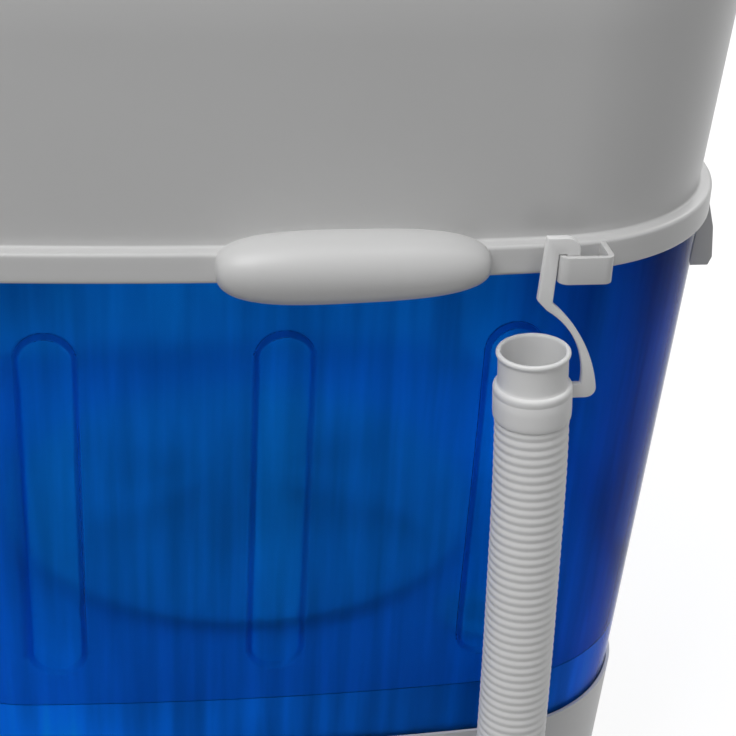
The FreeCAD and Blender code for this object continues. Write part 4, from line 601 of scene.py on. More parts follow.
def rim_stations(coarse, corner_steps, dense=None):
    """Places round the outline, counter-clockwise: arc centre, arc radius, way out, and side or None."""
    corner, side, back = corner_centre()
    side_turn = math.atan2(corner.y, corner.x - side.x)
    back_turn = math.atan2(corner.x, corner.y - back.y)
    stations = []
    sides = [(side, 0.0, side_turn), (back, 90.0, back_turn),
             (-side, 180.0, side_turn), (-back, 270.0, back_turn)]
    corners = [(corner.x, corner.y), (-corner.x, corner.y),
               (-corner.x, -corner.y), (corner.x, -corner.y)]
    for index, (centre, facing, turn) in enumerate(sides):
        half = RIM_BOW_RADIUS * turn
        for spot in side_steps(half, coarse, dense):
            angle = math.radians(facing) + spot / RIM_BOW_RADIUS
            stations.append((centre, RIM_BOW_RADIUS, Vector((math.cos(angle), math.sin(angle))), index))
        start = math.radians(facing) + turn
        next_turn = sides[(index + 1) % 4][2]
        end = math.radians(facing) + math.pi / 2 - next_turn
        for k in range(1, corner_steps):
            angle = start + (end - start) * k / corner_steps
            stations.append((Vector(corners[index]), RIM_CORNER_RADIUS,
                             Vector((math.cos(angle), math.sin(angle))), None))
    return stations


def rim_point(station, inset, z):
    centre, radius, way, side = station
    spot = centre + way * (radius - inset)
    return (spot.x, spot.y, z)


def rim_ring(stations, inset, z):
    return [rim_point(station, inset, z) for station in stations]


# Drain hose along its route

def hose_point(height):
    return HOSE_MOUTH + HOSE_UP * height


def route_line(points):
    """Points along a smooth NURBS line with the given control points."""
    curve = bpy.data.curves.new("hose_route", "CURVE")
    curve.dimensions = "3D"
    curve.resolution_u = 24
    spline = curve.splines.new("NURBS")
    spline.points.add(len(points) - 1)
    for point, place in zip(spline.points, points):
        point.co = (*(place * MM), 1.0)
    spline.order_u = 3
    spline.use_endpoint_u = True
    mesh = curve_mesh(curve)
    line = [vertex.co.copy() for vertex in mesh.vertices]
    bpy.data.meshes.remove(mesh)
    return line


def along_line(line, distance):
    """Place and direction at a distance along a line of points."""
    for start, end in zip(line, line[1:]):
        run = (end - start).length
        if distance <= run or end is line[-1]:
            way = (end - start).normalized()
            return start + way * distance, way
        distance -= run


def rib_shape(t):
    """Height of a rib over one pitch, from 0 at the neck to 1 on its rounded crown."""
    return ((1.0 - math.cos(2 * math.pi * t)) / 2.0) ** 0.8


def hose_profile():
    """Radius against the distance from the hose's foot, in millimetres."""
    length = HOSE_TOP - HOSE_FOOT
    rib_foot = RIB_TOP - RIB_COUNT * RIB_PITCH - HOSE_FOOT
    profile = [(0.0, HOSE_BORE_RADIUS + 0.2), (0.0, HOSE_NECK_RADIUS - 0.5), (0.4, HOSE_NECK_RADIUS),
               (rib_foot, HOSE_NECK_RADIUS)]
    for rib in range(RIB_COUNT):
        for k in range(RIB_RINGS):
            t = (k + 0.5) / RIB_RINGS
            radius = HOSE_NECK_RADIUS + (HOSE_RIB_RADIUS - HOSE_NECK_RADIUS) * rib_shape(t)
            profile.append((rib_foot + (rib + t) * RIB_PITCH, radius))
    profile += [(RIB_TOP - HOSE_FOOT, HOSE_NECK_RADIUS), (length, HOSE_NECK_RADIUS),
                (length, HOSE_BORE_RADIUS)]
    for share in (0.75, 0.5, 0.25):
        profile.append((length * share, HOSE_BORE_RADIUS))
    return profile


def make_hose():
    bow = Vector((0.0, HOSE_BOW, 0.0))
    line = route_line([hose_point(HOSE_FOOT), hose_point(HOSE_FOOT * 0.62) + bow, hose_point(-90.0) + bow,
                       hose_point(-45.0) + bow, HOSE_MOUTH + SLEEVE_UP * HOSE_TOP])
    rings = []
    for distance, radius in hose_profile():
        middle, up = along_line(line, distance * MM)
        rings.append(turned_ring(middle / MM, up, radius, HOSE_SEGMENTS))
    mesh = mesh_from("ribbed_hose", *ring_skin(rings))
    hose = dress_mesh("ribbed_hose", mesh, looks["hose_white"], 60.0)
    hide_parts("drain_hose")
    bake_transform(hose)
    return hose, line


def sleeve_profile():
    """Open end piece from the bore's foot, over the lip, down the spigot and cuff, and back inside."""
    return [
        (11.7, -15.6), (11.7, -8.0), (11.7, -1.2), (11.8, -0.6), (12.1, -0.15), (12.5, 0.0),
        (12.9, -0.02), (13.33, -0.2), (13.6, -0.6), (13.68, -1.05), (13.6, -1.5), (13.35, -1.85),
        (13.1, -2.1), (12.92, -2.5), (12.9, -3.2), (12.9, -8.0), (12.9, -12.4), (13.0, -13.1),
        (13.3, -13.5), (13.8, -13.65), (14.25, -13.95), (14.53, -14.4), (14.62, -15.0), (14.62, -16.2),
        (14.5, -16.5), (14.5, -17.0), (14.62, -17.3), (14.62, -21.0), (14.62, -24.4), (14.55, -25.8),
        (14.4, -26.8), (14.15, -27.3), (13.9, -27.5), (13.6, -27.5), (13.6, -15.6)]


def hook_outline():
    """Flat hook in the plane of Y and Z: strap, heel, curved arm to the cuff, bridge over the pocket."""
    wall_top = POCKET_TOP_Z + 0.3
    top = HOOK_TOP_Z
    strap_right = POCKET_LOW_Y - 0.2
    strap_left = strap_right - HOOK_STRAP_WIDTH
    tongue_left = POCKET_LOW_Y + POCKET_WALL + 0.4
    tongue_right = tongue_left + HOOK_TONGUE_WIDTH
    tongue_foot = wall_top - HOOK_TONGUE_LENGTH
    elbow_z = LEDGE_Z - HOOK_ELBOW_DROP
    foot_y = strap_right + HOOK_FOOT_REACH
    foot_z = elbow_z - HOOK_FOOT_DROP
    inner_y = foot_y - HOOK_FOOT_WIDTH
    strap_foot = (strap_right - 0.7, elbow_z)
    strap_heel = (strap_left - 1.5, elbow_z + 1.0)
    heel_tip = (strap_foot[0] - 1.9, elbow_z - 2.9)
    inner_middle = (inner_y - 4.3, elbow_z - 14.5)
    inner_end = (inner_y, foot_z + HOOK_FOOT_HEIGHT)
    outer_middle = (strap_right + 11.7, elbow_z - 14.6)
    root_y = HOSE_MOUTH.y + HOOK_ROOT_REACH
    foot_start = (foot_y - HOOK_FOOT_ROUND, foot_z)
    foot_middle = (foot_y - 1.1, foot_z + 1.1)
    foot_end = (foot_y, foot_z + HOOK_FOOT_ROUND)
    crown_start = (tongue_right, top - HOOK_CROWN_ROUND)
    crown_middle = (tongue_right - 1.6, top - 1.6)
    crown_end = (tongue_right - HOOK_CROWN_ROUND, top)
    points = [(strap_left, top), strap_heel]
    points += three_point_arc(heel_tip, inner_middle, inner_end, 14)
    points += [(root_y, inner_end[1]), (root_y, foot_z)]
    points += three_point_arc(foot_start, foot_middle, foot_end, 6)
    points += three_point_arc(foot_end, outer_middle, strap_foot, 16)[1:]
    points += [(strap_right, wall_top), (tongue_left, wall_top)]
    points += [(tongue_left, tongue_foot), (tongue_right, tongue_foot)]
    points += three_point_arc(crown_start, crown_middle, crown_end, 6)
    return points


def make_hose_end():
    rings = [turned_ring(HOSE_MOUTH + SLEEVE_UP * height, SLEEVE_UP, radius, HOSE_SEGMENTS)
             for radius, height in sleeve_profile()]
    points, faces = ring_skin(rings)
    faces = [tuple(reversed(face)) for face in faces]
    sleeve = mesh_from("sleeve", points, faces)
    hook = bevelled_prism("hook", hook_outline(), along_x, HOOK_BACK_X, HOOK_FRONT_X, 0.45)
    mesh = join_meshes("hose_end_piece", [sleeve, hook])
    return finish_mesh("hose_end_piece", mesh, "hose_white", "hose_end", ("hose_end",), 35.0)


# Tub with its moulded flutes

def flute_shape(station, point, grow):
    """Share of a flute's depth at a point, for a flute outline grown by grow."""
    side = station[3]
    if side is None:
        return 0.0
    spot = point[1] if side % 2 == 0 else point[0]
    offset = min(FLUTE_OFFSETS, key=lambda o: abs(spot - o))
    low = FLUTE_LOW_Z + FLUTE_RADIUS
    high = FLUTE_HIGH_Z - FLUTE_RADIUS
    nearest = min(high, max(low, point[2]))
    distance = math.hypot(spot - offset, point[2] - nearest) - FLUTE_RADIUS - grow
    return smooth_step((FLUTE_LIP - distance) / FLUTE_BLEND)


def tub_levels():
    """Heights of the tub's rows, close together at the flutes' ends."""
    foot_low, foot_high = FLUTE_LOW_Z - 4.0, FLUTE_LOW_Z + 12.0
    head_low, head_high = FLUTE_HIGH_Z - 9.2, FLUTE_HIGH_Z + 5.8
    levels = set()
    for low, high, step in ((TUB_SEAT_Z, TUB_SPLIT_Z, 14.0), (TUB_SPLIT_Z, foot_low, 6.5),
                            (foot_low, foot_high, 0.65), (foot_high, head_low, 8.6),
                            (head_low, head_high, 0.6), (head_high, TUB_TOP_Z, 5.2)):
        count = round((high - low) / step)
        for k in range(count + 1):
            levels.add(round(low + (high - low) * k / count, 3))
    return sorted(levels)


def tub_ring(stations, z, offset, grow, depth):
    ring = []
    for station in stations:
        inset = tub_inset(z) + offset
        point = rim_point(station, inset, z)
        ring.append(rim_point(station, inset + depth * flute_shape(station, point, grow), z))
    return ring


def circle_toward(ring, radius, centre, z):
    points = []
    for x, y, _ in ring:
        angle = math.atan2(y - centre[1], x - centre[0])
        points.append((centre[0] + radius * math.cos(angle), centre[1] + radius * math.sin(angle), z))
    return points


def between(ring_a, ring_b, share):
    return [tuple(a + (b - a) * share for a, b in zip(p, q)) for p, q in zip(ring_a, ring_b)]


def make_tub_wall():
    stations = rim_stations(5.0, 30, 0.6)
    levels = [z for z in tub_levels() if z < TUB_TOP_Z]
    rings = [tub_ring(stations, z, 0.0, 0.0, FLUTE_DEPTH) for z in levels]
    lip = tub_inset(TUB_TOP_Z)
    shoulder = TUB_TOP_Z - TUB_LIP_ROUND
    for inset, z in ((lip, shoulder), (lip + TUB_LIP_ROUND, TUB_TOP_Z),
                     (lip + TUB_WALL - TUB_LIP_ROUND, TUB_TOP_Z), (lip + TUB_WALL, shoulder)):
        rings.append(rim_ring(stations, inset, z))
    outer_points = len(rings) * len(stations)
    rings += [tub_ring(stations, z, TUB_WALL, FLUTE_INNER_GROW, FLUTE_INNER_DEPTH) for z in reversed(levels)
              if z >= TUB_SPLIT_Z]
    for z in (TUB_SPLIT_Z, TUB_SEAT_Z):
        rings.append(rim_ring(stations, tub_inset(z) + TUB_FOOT_LAYER, z))
    points, faces = ring_skin(rings)
    mesh = mesh_from("blue_tub", points, faces)
    frost = mesh.attributes.new("frost", "FLOAT", "POINT")
    frost.data.foreach_set("value", [1.0 if k >= outer_points else 0.0 for k in range(len(points))])
    return finish_mesh("blue_tub", mesh, "tub_blue", "cabinet", ("tub",), 50.0)


def make_tub_foot():
    """Frosted floor and foot of the tub, inside the clear wall's foot."""
    stations = rim_stations(7.0, 24)
    layer = TUB_FOOT_LAYER + 0.05
    rings = [rim_ring(stations, tub_inset(z) + layer, z) for z in (TUB_SEAT_Z, TUB_FLOOR_Z, TUB_SPLIT_Z)]
    rings.append(rim_ring(stations, tub_inset(TUB_SPLIT_Z) + TUB_WALL, TUB_SPLIT_Z))
    foot = tub_inset(TUB_FLOOR_TOP_Z) + TUB_WALL
    for inset, z in arc_points((0.0, 0.0), FLOOR_FILLET, 180, 270, 5):
        rings.append(rim_ring(stations, foot + FLOOR_FILLET + inset, TUB_FLOOR_TOP_Z + FLOOR_FILLET + z))
    edge = rings[-1]
    hole = circle_toward(edge, TUB_HOLE_RADIUS, (0.0, 0.0), TUB_FLOOR_TOP_Z)
    rings += [between(edge, hole, share) for share in (0.3, 0.65, 1.0)]
    under_hole = circle_toward(edge, TUB_HOLE_RADIUS, (0.0, 0.0), TUB_FLOOR_Z)
    under_edge = rim_ring(stations, tub_inset(TUB_FLOOR_Z) + TUB_WALL, TUB_FLOOR_Z)
    rings += [between(under_hole, under_edge, share) for share in (0.0, 0.35, 0.7, 1.0)]
    rings.append(rim_ring(stations, tub_inset(TUB_SEAT_Z) + TUB_WALL, TUB_SEAT_Z))
    mesh = mesh_from("tub_foot", *ring_skin(rings))
    return finish_mesh("tub_foot", mesh, "tub_blue", "cabinet", ("tub",), 50.0, frosted_blue)


# Head: skirt, ledge, flared wall, deck and mouth

def head_outer_profile():
    """Insets and heights up the outside, from the skirt's inner foot to the deck."""
    edge = LEDGE_ROUND
    cove = COVE_RADIUS
    top_inset = head_inset(DECK_Z)
    inner = SKIRT_THICKNESS
    foot = SKIRT_BOTTOM_Z
    chamfer = SKIRT_EDGE_ROUND * 0.3
    points = [(inner, LEDGE_UNDER_Z), (inner, foot + SKIRT_EDGE_ROUND)]
    points += [(inner - chamfer, foot + chamfer), (inner - SKIRT_EDGE_ROUND, foot)]
    points += arc_points((edge, foot + edge), edge, 270, 180, 6)
    points += [(0.0, foot + SKIRT_FLAT_INSET), (0.0, LEDGE_Z - SKIRT_FLAT_INSET)]
    points += arc_points((edge, LEDGE_Z - LEDGE_FALL - edge), edge, 180, 90, 6)
    points += [(LEDGE_WIDTH * 0.5, LEDGE_Z - LEDGE_FALL * 0.5)]
    points += arc_points((LEDGE_WIDTH - cove, LEDGE_Z + cove), cove, 270, 356, 6)
    for share in (0.05, 0.2, 0.4, 0.6, 0.8):
        z = LEDGE_Z + (DECK_Z - DECK_ROUND - LEDGE_Z) * share
        points.append((head_inset(z), z))
    points += arc_points((top_inset + DECK_ROUND, DECK_Z - DECK_ROUND), DECK_ROUND, 176, 90, 8)
    return points


def make_head():
    stations = rim_stations(7.0, 32)
    rings = [rim_ring(stations, inset, z) for inset, z in head_outer_profile()]
    deck_edge = rings[-1]
    centre = (0.0, MOUTH_Y)
    outer = MOUTH_RADIUS + COLLAR_WALL
    inner = MOUTH_RADIUS
    top = COAMING_TOP_Z
    foot = COLLAR_FOOT_Z
    collar_foot = circle_toward(deck_edge, outer + COAMING_FILLET, centre, DECK_Z)
    rings += [between(deck_edge, collar_foot, share) for share in (0.15, 0.5, 0.85)]
    rings.append(collar_foot)
    for radius, z in ((outer + 0.3 * COAMING_FILLET, DECK_Z + 0.3 * COAMING_FILLET),
                      (outer, DECK_Z + COAMING_FILLET), (outer, top - COAMING_ROUND),
                      (outer - 0.3, top - 0.2), (outer - COAMING_ROUND, top), (inner + COAMING_ROUND, top),
                      (inner + 0.3, top - 0.2), (inner, top - COAMING_ROUND), (inner, DECK_UNDER_Z),
                      (inner, foot + COLLAR_ROUND), (inner + COLLAR_ROUND, foot),
                      (outer - COLLAR_ROUND, foot), (outer, foot + COLLAR_ROUND), (outer, DECK_UNDER_Z)):
        rings.append(circle_toward(deck_edge, radius, centre, z))
    under_circle = rings[-1]
    under_edge = rim_ring(stations, head_inset(DECK_UNDER_Z) + HEAD_WALL, DECK_UNDER_Z)
    rings += [between(under_circle, under_edge, share) for share in (0.4, 0.8)]
    rings.append(under_edge)
    rings.append(rim_ring(stations, head_inset(HEAD_MIDDLE_Z) + HEAD_WALL, HEAD_MIDDLE_Z))
    rings.append(rim_ring(stations, LEDGE_WIDTH + HEAD_WALL, LEDGE_Z))
    rings.append(rim_ring(stations, LEDGE_WIDTH + HEAD_WALL, LEDGE_UNDER_Z))
    mesh = mesh_from("head_shell", *ring_skin(rings))
    return finish_mesh("head_shell", mesh, "housing_white", "cabinet", ("head_housing", "mouth_collar"), 38.0)


def make_hinge_ears():
    """Pairs of rounded ears on the deck that carry the lid's pins."""
    outline = [(HINGE_Y - HINGE_EYE_RADIUS, DECK_Z - 1.0), (HINGE_Y + HINGE_EYE_RADIUS, DECK_Z - 1.0)]
    outline += arc_points((HINGE_Y, HINGE_Z), HINGE_EYE_RADIUS, 0, 180, 16)
    half = HINGE_EAR_THICKNESS / 2.0
    ears = [bevelled_prism("ear", outline, along_x, x - half, x + half, 0.5) for x in HINGE_PLACES]
    mesh = join_meshes("hinge_ears", ears)
    return finish_mesh("hinge_ears", mesh, "housing_white", "cabinet", ("head_housing",), 35.0)


# Knobs and the dial marks on the sloping panel

def panel_point(shift, x, along, height):
    return PANEL_MIDDLE + Vector((shift + x, 0.0, 0.0)) + PANEL_UP * along + PANEL_OUT * height


def rounded_bar(half_width, half_length, corner):
    points = []
    for x, y, start in ((1, 1, 0), (-1, 1, 90), (-1, -1, 180), (1, -1, 270)):
        centre = (x * (half_width - corner), y * (half_length - corner))
        points += arc_points(centre, corner, start, start + 90, 5)
    return points


def knob_skirt(shift):
    """Turned skirt with a fluted edge and a rounded shoulder."""
    profile = ((18.5, KNOB_FOOT, 0), (KNOB_RADIUS - 0.5, KNOB_FOOT, 0), (KNOB_RADIUS, KNOB_FOOT + 0.5, 1),
               (KNOB_RADIUS - 0.4, 5.0, 1), (KNOB_RADIUS - 0.8, 8.0, 1), (KNOB_RADIUS - 1.3, 9.1, 0),
               (KNOB_RADIUS - 2.1, 9.65, 0), (KNOB_RADIUS - 3.2, KNOB_TOP, 0), (10.0, KNOB_TOP, 0))
    count = KNURL_COUNT * 6
    rings = []
    for radius, height, knurl in profile:
        ring = []
        for k in range(count):
            angle = 2 * math.pi * k / count
            reach = radius - knurl * KNURL_DEPTH * (1.0 + math.cos(KNURL_COUNT * angle)) / 2.0
            ring.append(panel_point(shift, reach * math.sin(angle), reach * math.cos(angle), height))
        rings.append(ring)
    return capped_mesh("skirt", rings)


def knob_bar(shift):
    """Finger bar across the knob, narrowing upwards, with a rounded top."""
    rings = []
    for height, half_width, half_length in ((9.0, 4.5, 19.3), (12.0, 4.35, 18.6), (18.2, 4.1, 17.2),
                                            (19.1, 3.9, 16.9), (19.6, 3.5, 16.5), (KNOB_CROWN, 2.8, 15.8)):
        outline = rounded_bar(half_width, half_length, 2.4)
        rings.append([panel_point(shift, x, y, height) for x, y in outline])
    return capped_mesh("bar", rings)


def make_knob(name, node, body, shift):
    mesh = join_meshes(name, [knob_skirt(shift), knob_bar(shift)])
    finish_mesh(name, mesh, "knob_blue", body, (node,), 45.0)
    outline = rounded_bar(1.0, 4.0, 0.9)
    line = bevelled_prism(name + "_line", outline,
                          lambda p, h: panel_point(shift, p[0], p[1] + KNOB_LINE_PLACE, h),
                          KNOB_CROWN - KNOB_LINE_DEPTH, KNOB_CROWN + KNOB_LINE_LIFT, 0.1, 1)
    finish_mesh(name + "_line", line, "housing_white", body)


def number_mesh(text, shift, angle):
    """A plain figure of the dial, lying on the panel at an angle clockwise from up the slope."""
    curve = bpy.data.curves.new("figure", "FONT")
    curve.body = text
    curve.size = NUMBER_SIZE * MM
    curve.align_x = "CENTER"
    curve.align_y = "CENTER"
    curve.extrude = MARK_LIFT * MM
    mesh = curve_mesh(curve)
    turn = math.radians(angle)
    place = panel_point(shift, NUMBER_RADIUS * math.sin(turn), NUMBER_RADIUS * math.cos(turn), 0.0) * MM
    axes = Matrix((Vector((1.0, 0.0, 0.0)), PANEL_UP, PANEL_OUT)).transposed()
    mesh.transform(Matrix.Translation(place) @ axes.to_4x4())
    mesh.materials.clear()
    return mesh


def tick_mesh(shift, angle, reach, width):
    turn = math.radians(angle)
    out = Vector((math.sin(turn), math.cos(turn)))
    side = Vector((out.y, -out.x)) * (width / 2.0)
    corners = [out * TICK_INNER - side, out * TICK_INNER + side, out * reach + side, out * reach - side]
    rings = [[panel_point(shift, c.x, c.y, height) for c in corners] for height in (-MARK_LIFT, MARK_LIFT)]
    return capped_mesh("tick", rings)


def make_dial_marks(name, shift, steps, turn, figures):
    """Ticks over the knob's turn, longer at each figure."""
    marks = []
    every = steps // (len(figures) - 1)
    for k in range(steps + 1):
        reach, width = TICK_SHORT_REACH, TICK_SHORT_WIDTH
        if k % every == 0:
            reach, width = TICK_LONG_REACH, TICK_LONG_WIDTH
        marks.append(tick_mesh(shift, turn * k / steps, reach, width))
    for k, figure in enumerate(figures):
        marks.append(number_mesh(figure, shift, turn * k / (len(figures) - 1)))
    finish_mesh(name, join_meshes(name, marks), "knob_blue", "cabinet")


# Cord-wrap hooks under the rear corners of the rim

def make_cord_hooks():
    top = SKIRT_BOTTOM_Z
    low = top - CORD_HOOK_DROP
    thickness = CORD_HOOK_THICKNESS
    lip = low + thickness
    bend_y, bend_z = CORD_HOOK_BEND_Y, CORD_HOOK_BEND_Z
    tip = CORD_HOOK_TIP_Y
    edge = CORD_HOOK_WEB_EDGE
    arm = [(CORD_HOOK_ROOT_Y, top), (bend_y, bend_z), (tip, lip), (tip - 1.4, low), (CORD_HOOK_END_Y, low),
           (CORD_HOOK_END_Y, lip), (tip - thickness, lip), (bend_y - thickness, bend_z - 1.0),
           (CORD_HOOK_BACK_Y, top - thickness), (CORD_HOOK_BACK_Y, top)]
    web = [(CORD_HOOK_WEB_TOP_Y, top), (CORD_HOOK_ROOT_Y + edge, top), (bend_y + edge, bend_z),
           (tip + edge, lip), (tip - 1.3, low - edge), (CORD_HOOK_WEB_FOOT_Y, low - edge)]
    near, far = CORD_HOOK_X
    meshes = []
    for side in (1, -1):
        meshes.append(bevelled_prism("arm", arm, along_x, side * near, side * (far - 0.8), 0.6))
        meshes.append(bevelled_prism("web", web, along_x, side * (far - CORD_HOOK_WEB), side * far, 0.4))
    mesh = join_meshes("cord_wrap_hooks", meshes)
    return finish_mesh("cord_wrap_hooks", mesh, "housing_white", "cabinet", ("cord_hooks",), 35.0)


# Carry grips: hollow pillows standing out of the rim, open underneath

def rim_x(y):
    """The rim's right-hand edge at a place along the side."""
    corner, side, back = corner_centre()
    if abs(y) <= corner.y:
        return side.x + math.sqrt(RIM_BOW_RADIUS ** 2 - y ** 2)
    return corner.x + math.sqrt(RIM_CORNER_RADIUS ** 2 - (abs(y) - corner.y) ** 2)


def in_housing(x, y, z):
    """True a little inside the head's wall or skirt."""
    if z >= LEDGE_Z:
        return x < rim_x(y) - head_inset(z) - 0.8
    return x < rim_x(y) - 1.0


def grip_fullness(share):
    return max(0.0, 1.0 - abs(share) ** GRIP_POWER) ** (1.0 / GRIP_POWER)


def grip_arc(y, semi, steps):
    """Outside of one cross-section, from its lower end round to where it enters the housing.

    The lower half is deeper towards the front end.
    """
    share = (y - GRIP_CENTRE[1]) / semi[1]
    full = grip_fullness(share)
    if full < 0.02:
        return [(GRIP_CENTRE[0], y, GRIP_CENTRE[2])] * (steps + 1)

    def spot(angle):
        depth = semi[2] if angle > 0.0 else semi[2] + GRIP_DROP - GRIP_SKEW * share
        x = GRIP_CENTRE[0] + semi[0] * full * math.cos(angle)
        return (x, y, GRIP_CENTRE[2] + depth * full * math.sin(angle))

    def limit(turn):
        for k in range(1, 361):
            angle = turn * math.radians(k * 0.5)
            point = spot(angle)
            if in_housing(*point) or point[2] < GRIP_FOOT_Z:
                return angle
        return turn * math.pi

    low, high = limit(-1), limit(1)
    return [spot(low + (high - low) * k / steps) for k in range(steps + 1)]


def make_grip(name, node, mirror):
    rings = []
    hollow = tuple(semi - GRIP_WALL for semi in GRIP_SEMI)
    for k in range(GRIP_STATIONS + 1):
        y = GRIP_CENTRE[1] - GRIP_SEMI[1] * math.cos(math.pi * k / GRIP_STATIONS)
        outer = grip_arc(y, GRIP_SEMI, GRIP_STEPS)
        if abs(y - GRIP_CENTRE[1]) < hollow[1] * 0.985:
            inner = grip_arc(y, hollow, GRIP_STEPS)
        else:
            inner = [between([outer[0]], [outer[-1]], j / GRIP_STEPS)[0] for j in range(GRIP_STEPS + 1)]
        rings.append([(x * mirror, y, z) for x, y, z in outer + inner[::-1]])
    points, faces = ring_skin(rings, closed=False)
    work = bmesh.new()
    verts = [work.verts.new([c * MM for c in point]) for point in points]
    for face in faces:
        corners = []
        for index in face:
            if verts[index] not in corners:
                corners.append(verts[index])
        work.faces.new(corners)
    bmesh.ops.remove_doubles(work, verts=work.verts, dist=0.00002)
    bmesh.ops.dissolve_degenerate(work, edges=work.edges, dist=0.00001)
    bmesh.ops.recalc_face_normals(work, faces=work.faces)
    return finish_mesh(name, mesh_of(name, work), "housing_white", "cabinet", (node,), 50.0)


# Hose pocket on the rim

def pocket_outline():
    """Plan of the three-sided loop: outside corners rounded, inside ones nearly square."""
    back, front = POCKET_BACK_X, POCKET_FRONT_X
    low, high = POCKET_LOW_Y, POCKET_HIGH_Y
    corner = POCKET_CORNER
    wall = POCKET_WALL
    inner = POCKET_INNER_CORNER
    points = [(back, low)]
    points += arc_points((front - corner, low + corner), corner, 270, 360, 6)
    points += arc_points((front - corner, high - corner), corner, 0, 90, 6)
    points += [(back, high), (back, high - wall)]
    points += arc_points((front - wall - inner, high - wall - inner), inner, 90, 0, 3)
    points += arc_points((front - wall - inner, low + wall + inner), inner, 0, -90, 3)
    points.append((back, low + wall))
    return points


def make_pocket():
    mesh = bevelled_prism("hose_loop", pocket_outline(), lambda p, z: (p[0], p[1], z),
                          POCKET_FOOT_Z, POCKET_TOP_Z, 0.5)
    return finish_mesh("hose_loop", mesh, "housing_white", "cabinet", ("hose_pocket",), 35.0)


hose, hose_line = make_hose()
hose_end = make_hose_end()
make_tub_wall()
make_tub_foot()
make_head()
make_hinge_ears()
make_grip("right_grip", "carry_handle_right", 1)
make_grip("left_grip", "carry_handle_left", -1)
make_pocket()
make_cord_hooks()
make_knob("timer_dial", "timer_knob", "timer", -KNOB_X)
make_knob("selector_dial", "selector_knob", "selector", KNOB_X)
make_dial_marks("timer_marks", -KNOB_X, 15, 300.0, ("0", "3", "6", "9", "12", "15"))
make_dial_marks("selector_marks", KNOB_X, 4, 90.0, ("0", "1", "2"))


# Finish of the nodes that show as they are

for part in frame["record"]["subparts"]:
    node = nodes[part["node"]]
    look = "pulsator_white" if part["node"] == "pulsator_cap" else part["material_slot"]
    node.data.materials.clear()
    node.data.materials.append(looks[look])


# Floor, light and camera

def make_floor():
    work = bmesh.new()
    bmesh.ops.create_circle(work, cap_ends=True, segments=96, radius=FLOOR_RADIUS)
    mesh = mesh_of("floor", work)
    material = bpy.data.materials.new("floor")
    material.use_nodes = True
    tree = material.node_tree
    tree.nodes.clear()
    output = tree.nodes.new("ShaderNodeOutputMaterial")
    diffuse = tree.nodes.new("ShaderNodeBsdfDiffuse")
    diffuse.inputs["Color"].default_value = (FLOOR_GREY, FLOOR_GREY, FLOOR_GREY, 1.0)
    glow = tree.nodes.new("ShaderNodeEmission")
    glow.inputs["Color"].default_value = (1.0, 1.0, 1.0, 1.0)
    coordinates = tree.nodes.new("ShaderNodeTexCoord")
    distance = tree.nodes.new("ShaderNodeVectorMath")
    distance.operation = "LENGTH"
    fade = tree.nodes.new("ShaderNodeMapRange")
    fade.interpolation_type = "SMOOTHSTEP"
    fade.inputs["From Min"].default_value, fade.inputs["From Max"].default_value = FLOOR_FADE
    fade.inputs["To Min"].default_value, fade.inputs["To Max"].default_value = FLOOR_GLOW
    amount = tree.nodes.new("ShaderNodeMath")
    amount.operation = "MULTIPLY"
    tree.links.new(coordinates.outputs["Object"], distance.inputs[0])
    tree.links.new(distance.outputs["Value"], fade.inputs["Value"])
    tree.links.new(seen_rays(tree), amount.inputs[0])
    tree.links.new(fade.outputs["Result"], amount.inputs[1])
    tree.links.new(amount.outputs["Value"], glow.inputs["Strength"])
    both = tree.nodes.new("ShaderNodeAddShader")
    tree.links.new(diffuse.outputs["BSDF"], both.inputs[0])
    tree.links.new(glow.outputs["Emission"], both.inputs[1])
    tree.links.new(both.outputs["Shader"], output.inputs["Surface"])
    mesh.materials.append(material)
    floor = bpy.data.objects.new("floor", mesh)
    bpy.context.scene.collection.objects.link(floor)


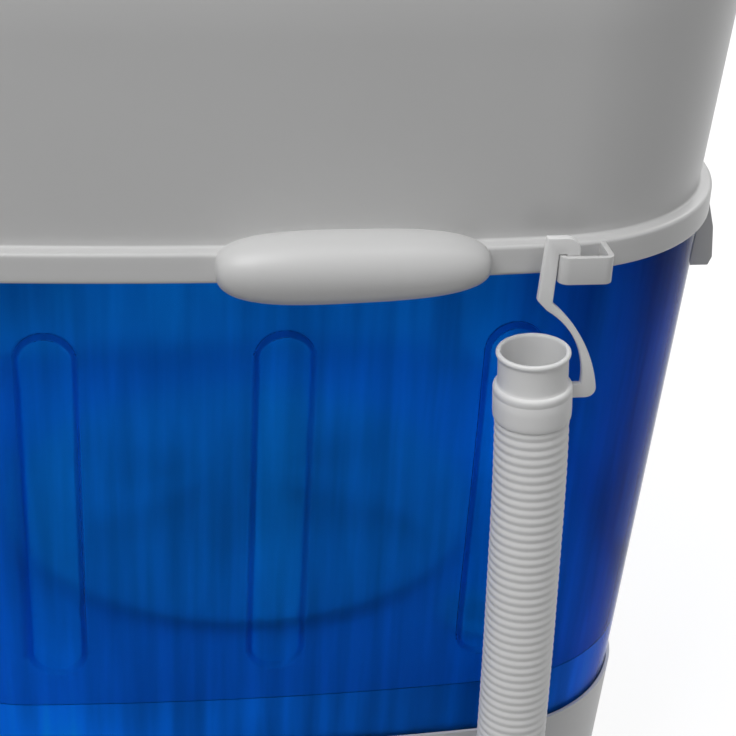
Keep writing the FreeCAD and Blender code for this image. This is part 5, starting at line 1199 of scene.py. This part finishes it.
def seen_rays(tree):
    """1 for camera, mirror and see-through rays, 0 for the light that falls on things."""
    path = tree.nodes.new("ShaderNodeLightPath")
    first = tree.nodes.new("ShaderNodeMath")
    first.operation = "MAXIMUM"
    second = tree.nodes.new("ShaderNodeMath")
    second.operation = "MAXIMUM"
    tree.links.new(path.outputs["Is Camera Ray"], first.inputs[0])
    tree.links.new(path.outputs["Is Glossy Ray"], first.inputs[1])
    tree.links.new(first.outputs["Value"], second.inputs[0])
    tree.links.new(path.outputs["Is Transmission Ray"], second.inputs[1])
    return second.outputs["Value"]


def make_world(level):
    world = bpy.data.worlds.new("studio")
    world.use_nodes = True
    bpy.context.scene.world = world
    tree = world.node_tree
    background = tree.nodes["Background"]
    background.inputs["Color"].default_value = (1.0, 1.0, 1.0, 1.0)
    strength = tree.nodes.new("ShaderNodeMapRange")
    strength.inputs["To Min"].default_value = level
    strength.inputs["To Max"].default_value = 1.0
    tree.links.new(seen_rays(tree), strength.inputs["Value"])
    tree.links.new(strength.outputs["Result"], background.inputs["Strength"])


def make_light(name, place, target, size, power):
    data = bpy.data.lights.new(name, "AREA")
    data.shape = "RECTANGLE"
    data.size = size
    data.size_y = size
    data.energy = power
    lamp = bpy.data.objects.new(name, data)
    lamp.location = place
    lamp.rotation_mode = "QUATERNION"
    lamp.rotation_quaternion = (Vector(target) - Vector(place)).to_track_quat("-Z", "Y")
    bpy.context.scene.collection.objects.link(lamp)


def make_camera():
    data = bpy.data.cameras.new("camera")
    data.sensor_width = SENSOR_WIDTH
    data.lens = FOCAL_PIXELS / IMAGE_SIZE * SENSOR_WIDTH
    data.clip_start = 0.01
    data.clip_end = 50.0
    camera = bpy.data.objects.new("camera", data)
    axes = Matrix((CAMERA_RIGHT, CAMERA_UP, CAMERA_BACK)).transposed()
    camera.matrix_world = Matrix.Translation(CAMERA_PLACE) @ axes.to_4x4()
    bpy.context.scene.collection.objects.link(camera)
    bpy.context.scene.camera = camera


make_floor()
make_world(WORLD_LEVEL)
for light in LIGHTS:
    make_light(*light)
make_camera()
bpy.context.scene.view_settings.view_transform = "Standard"
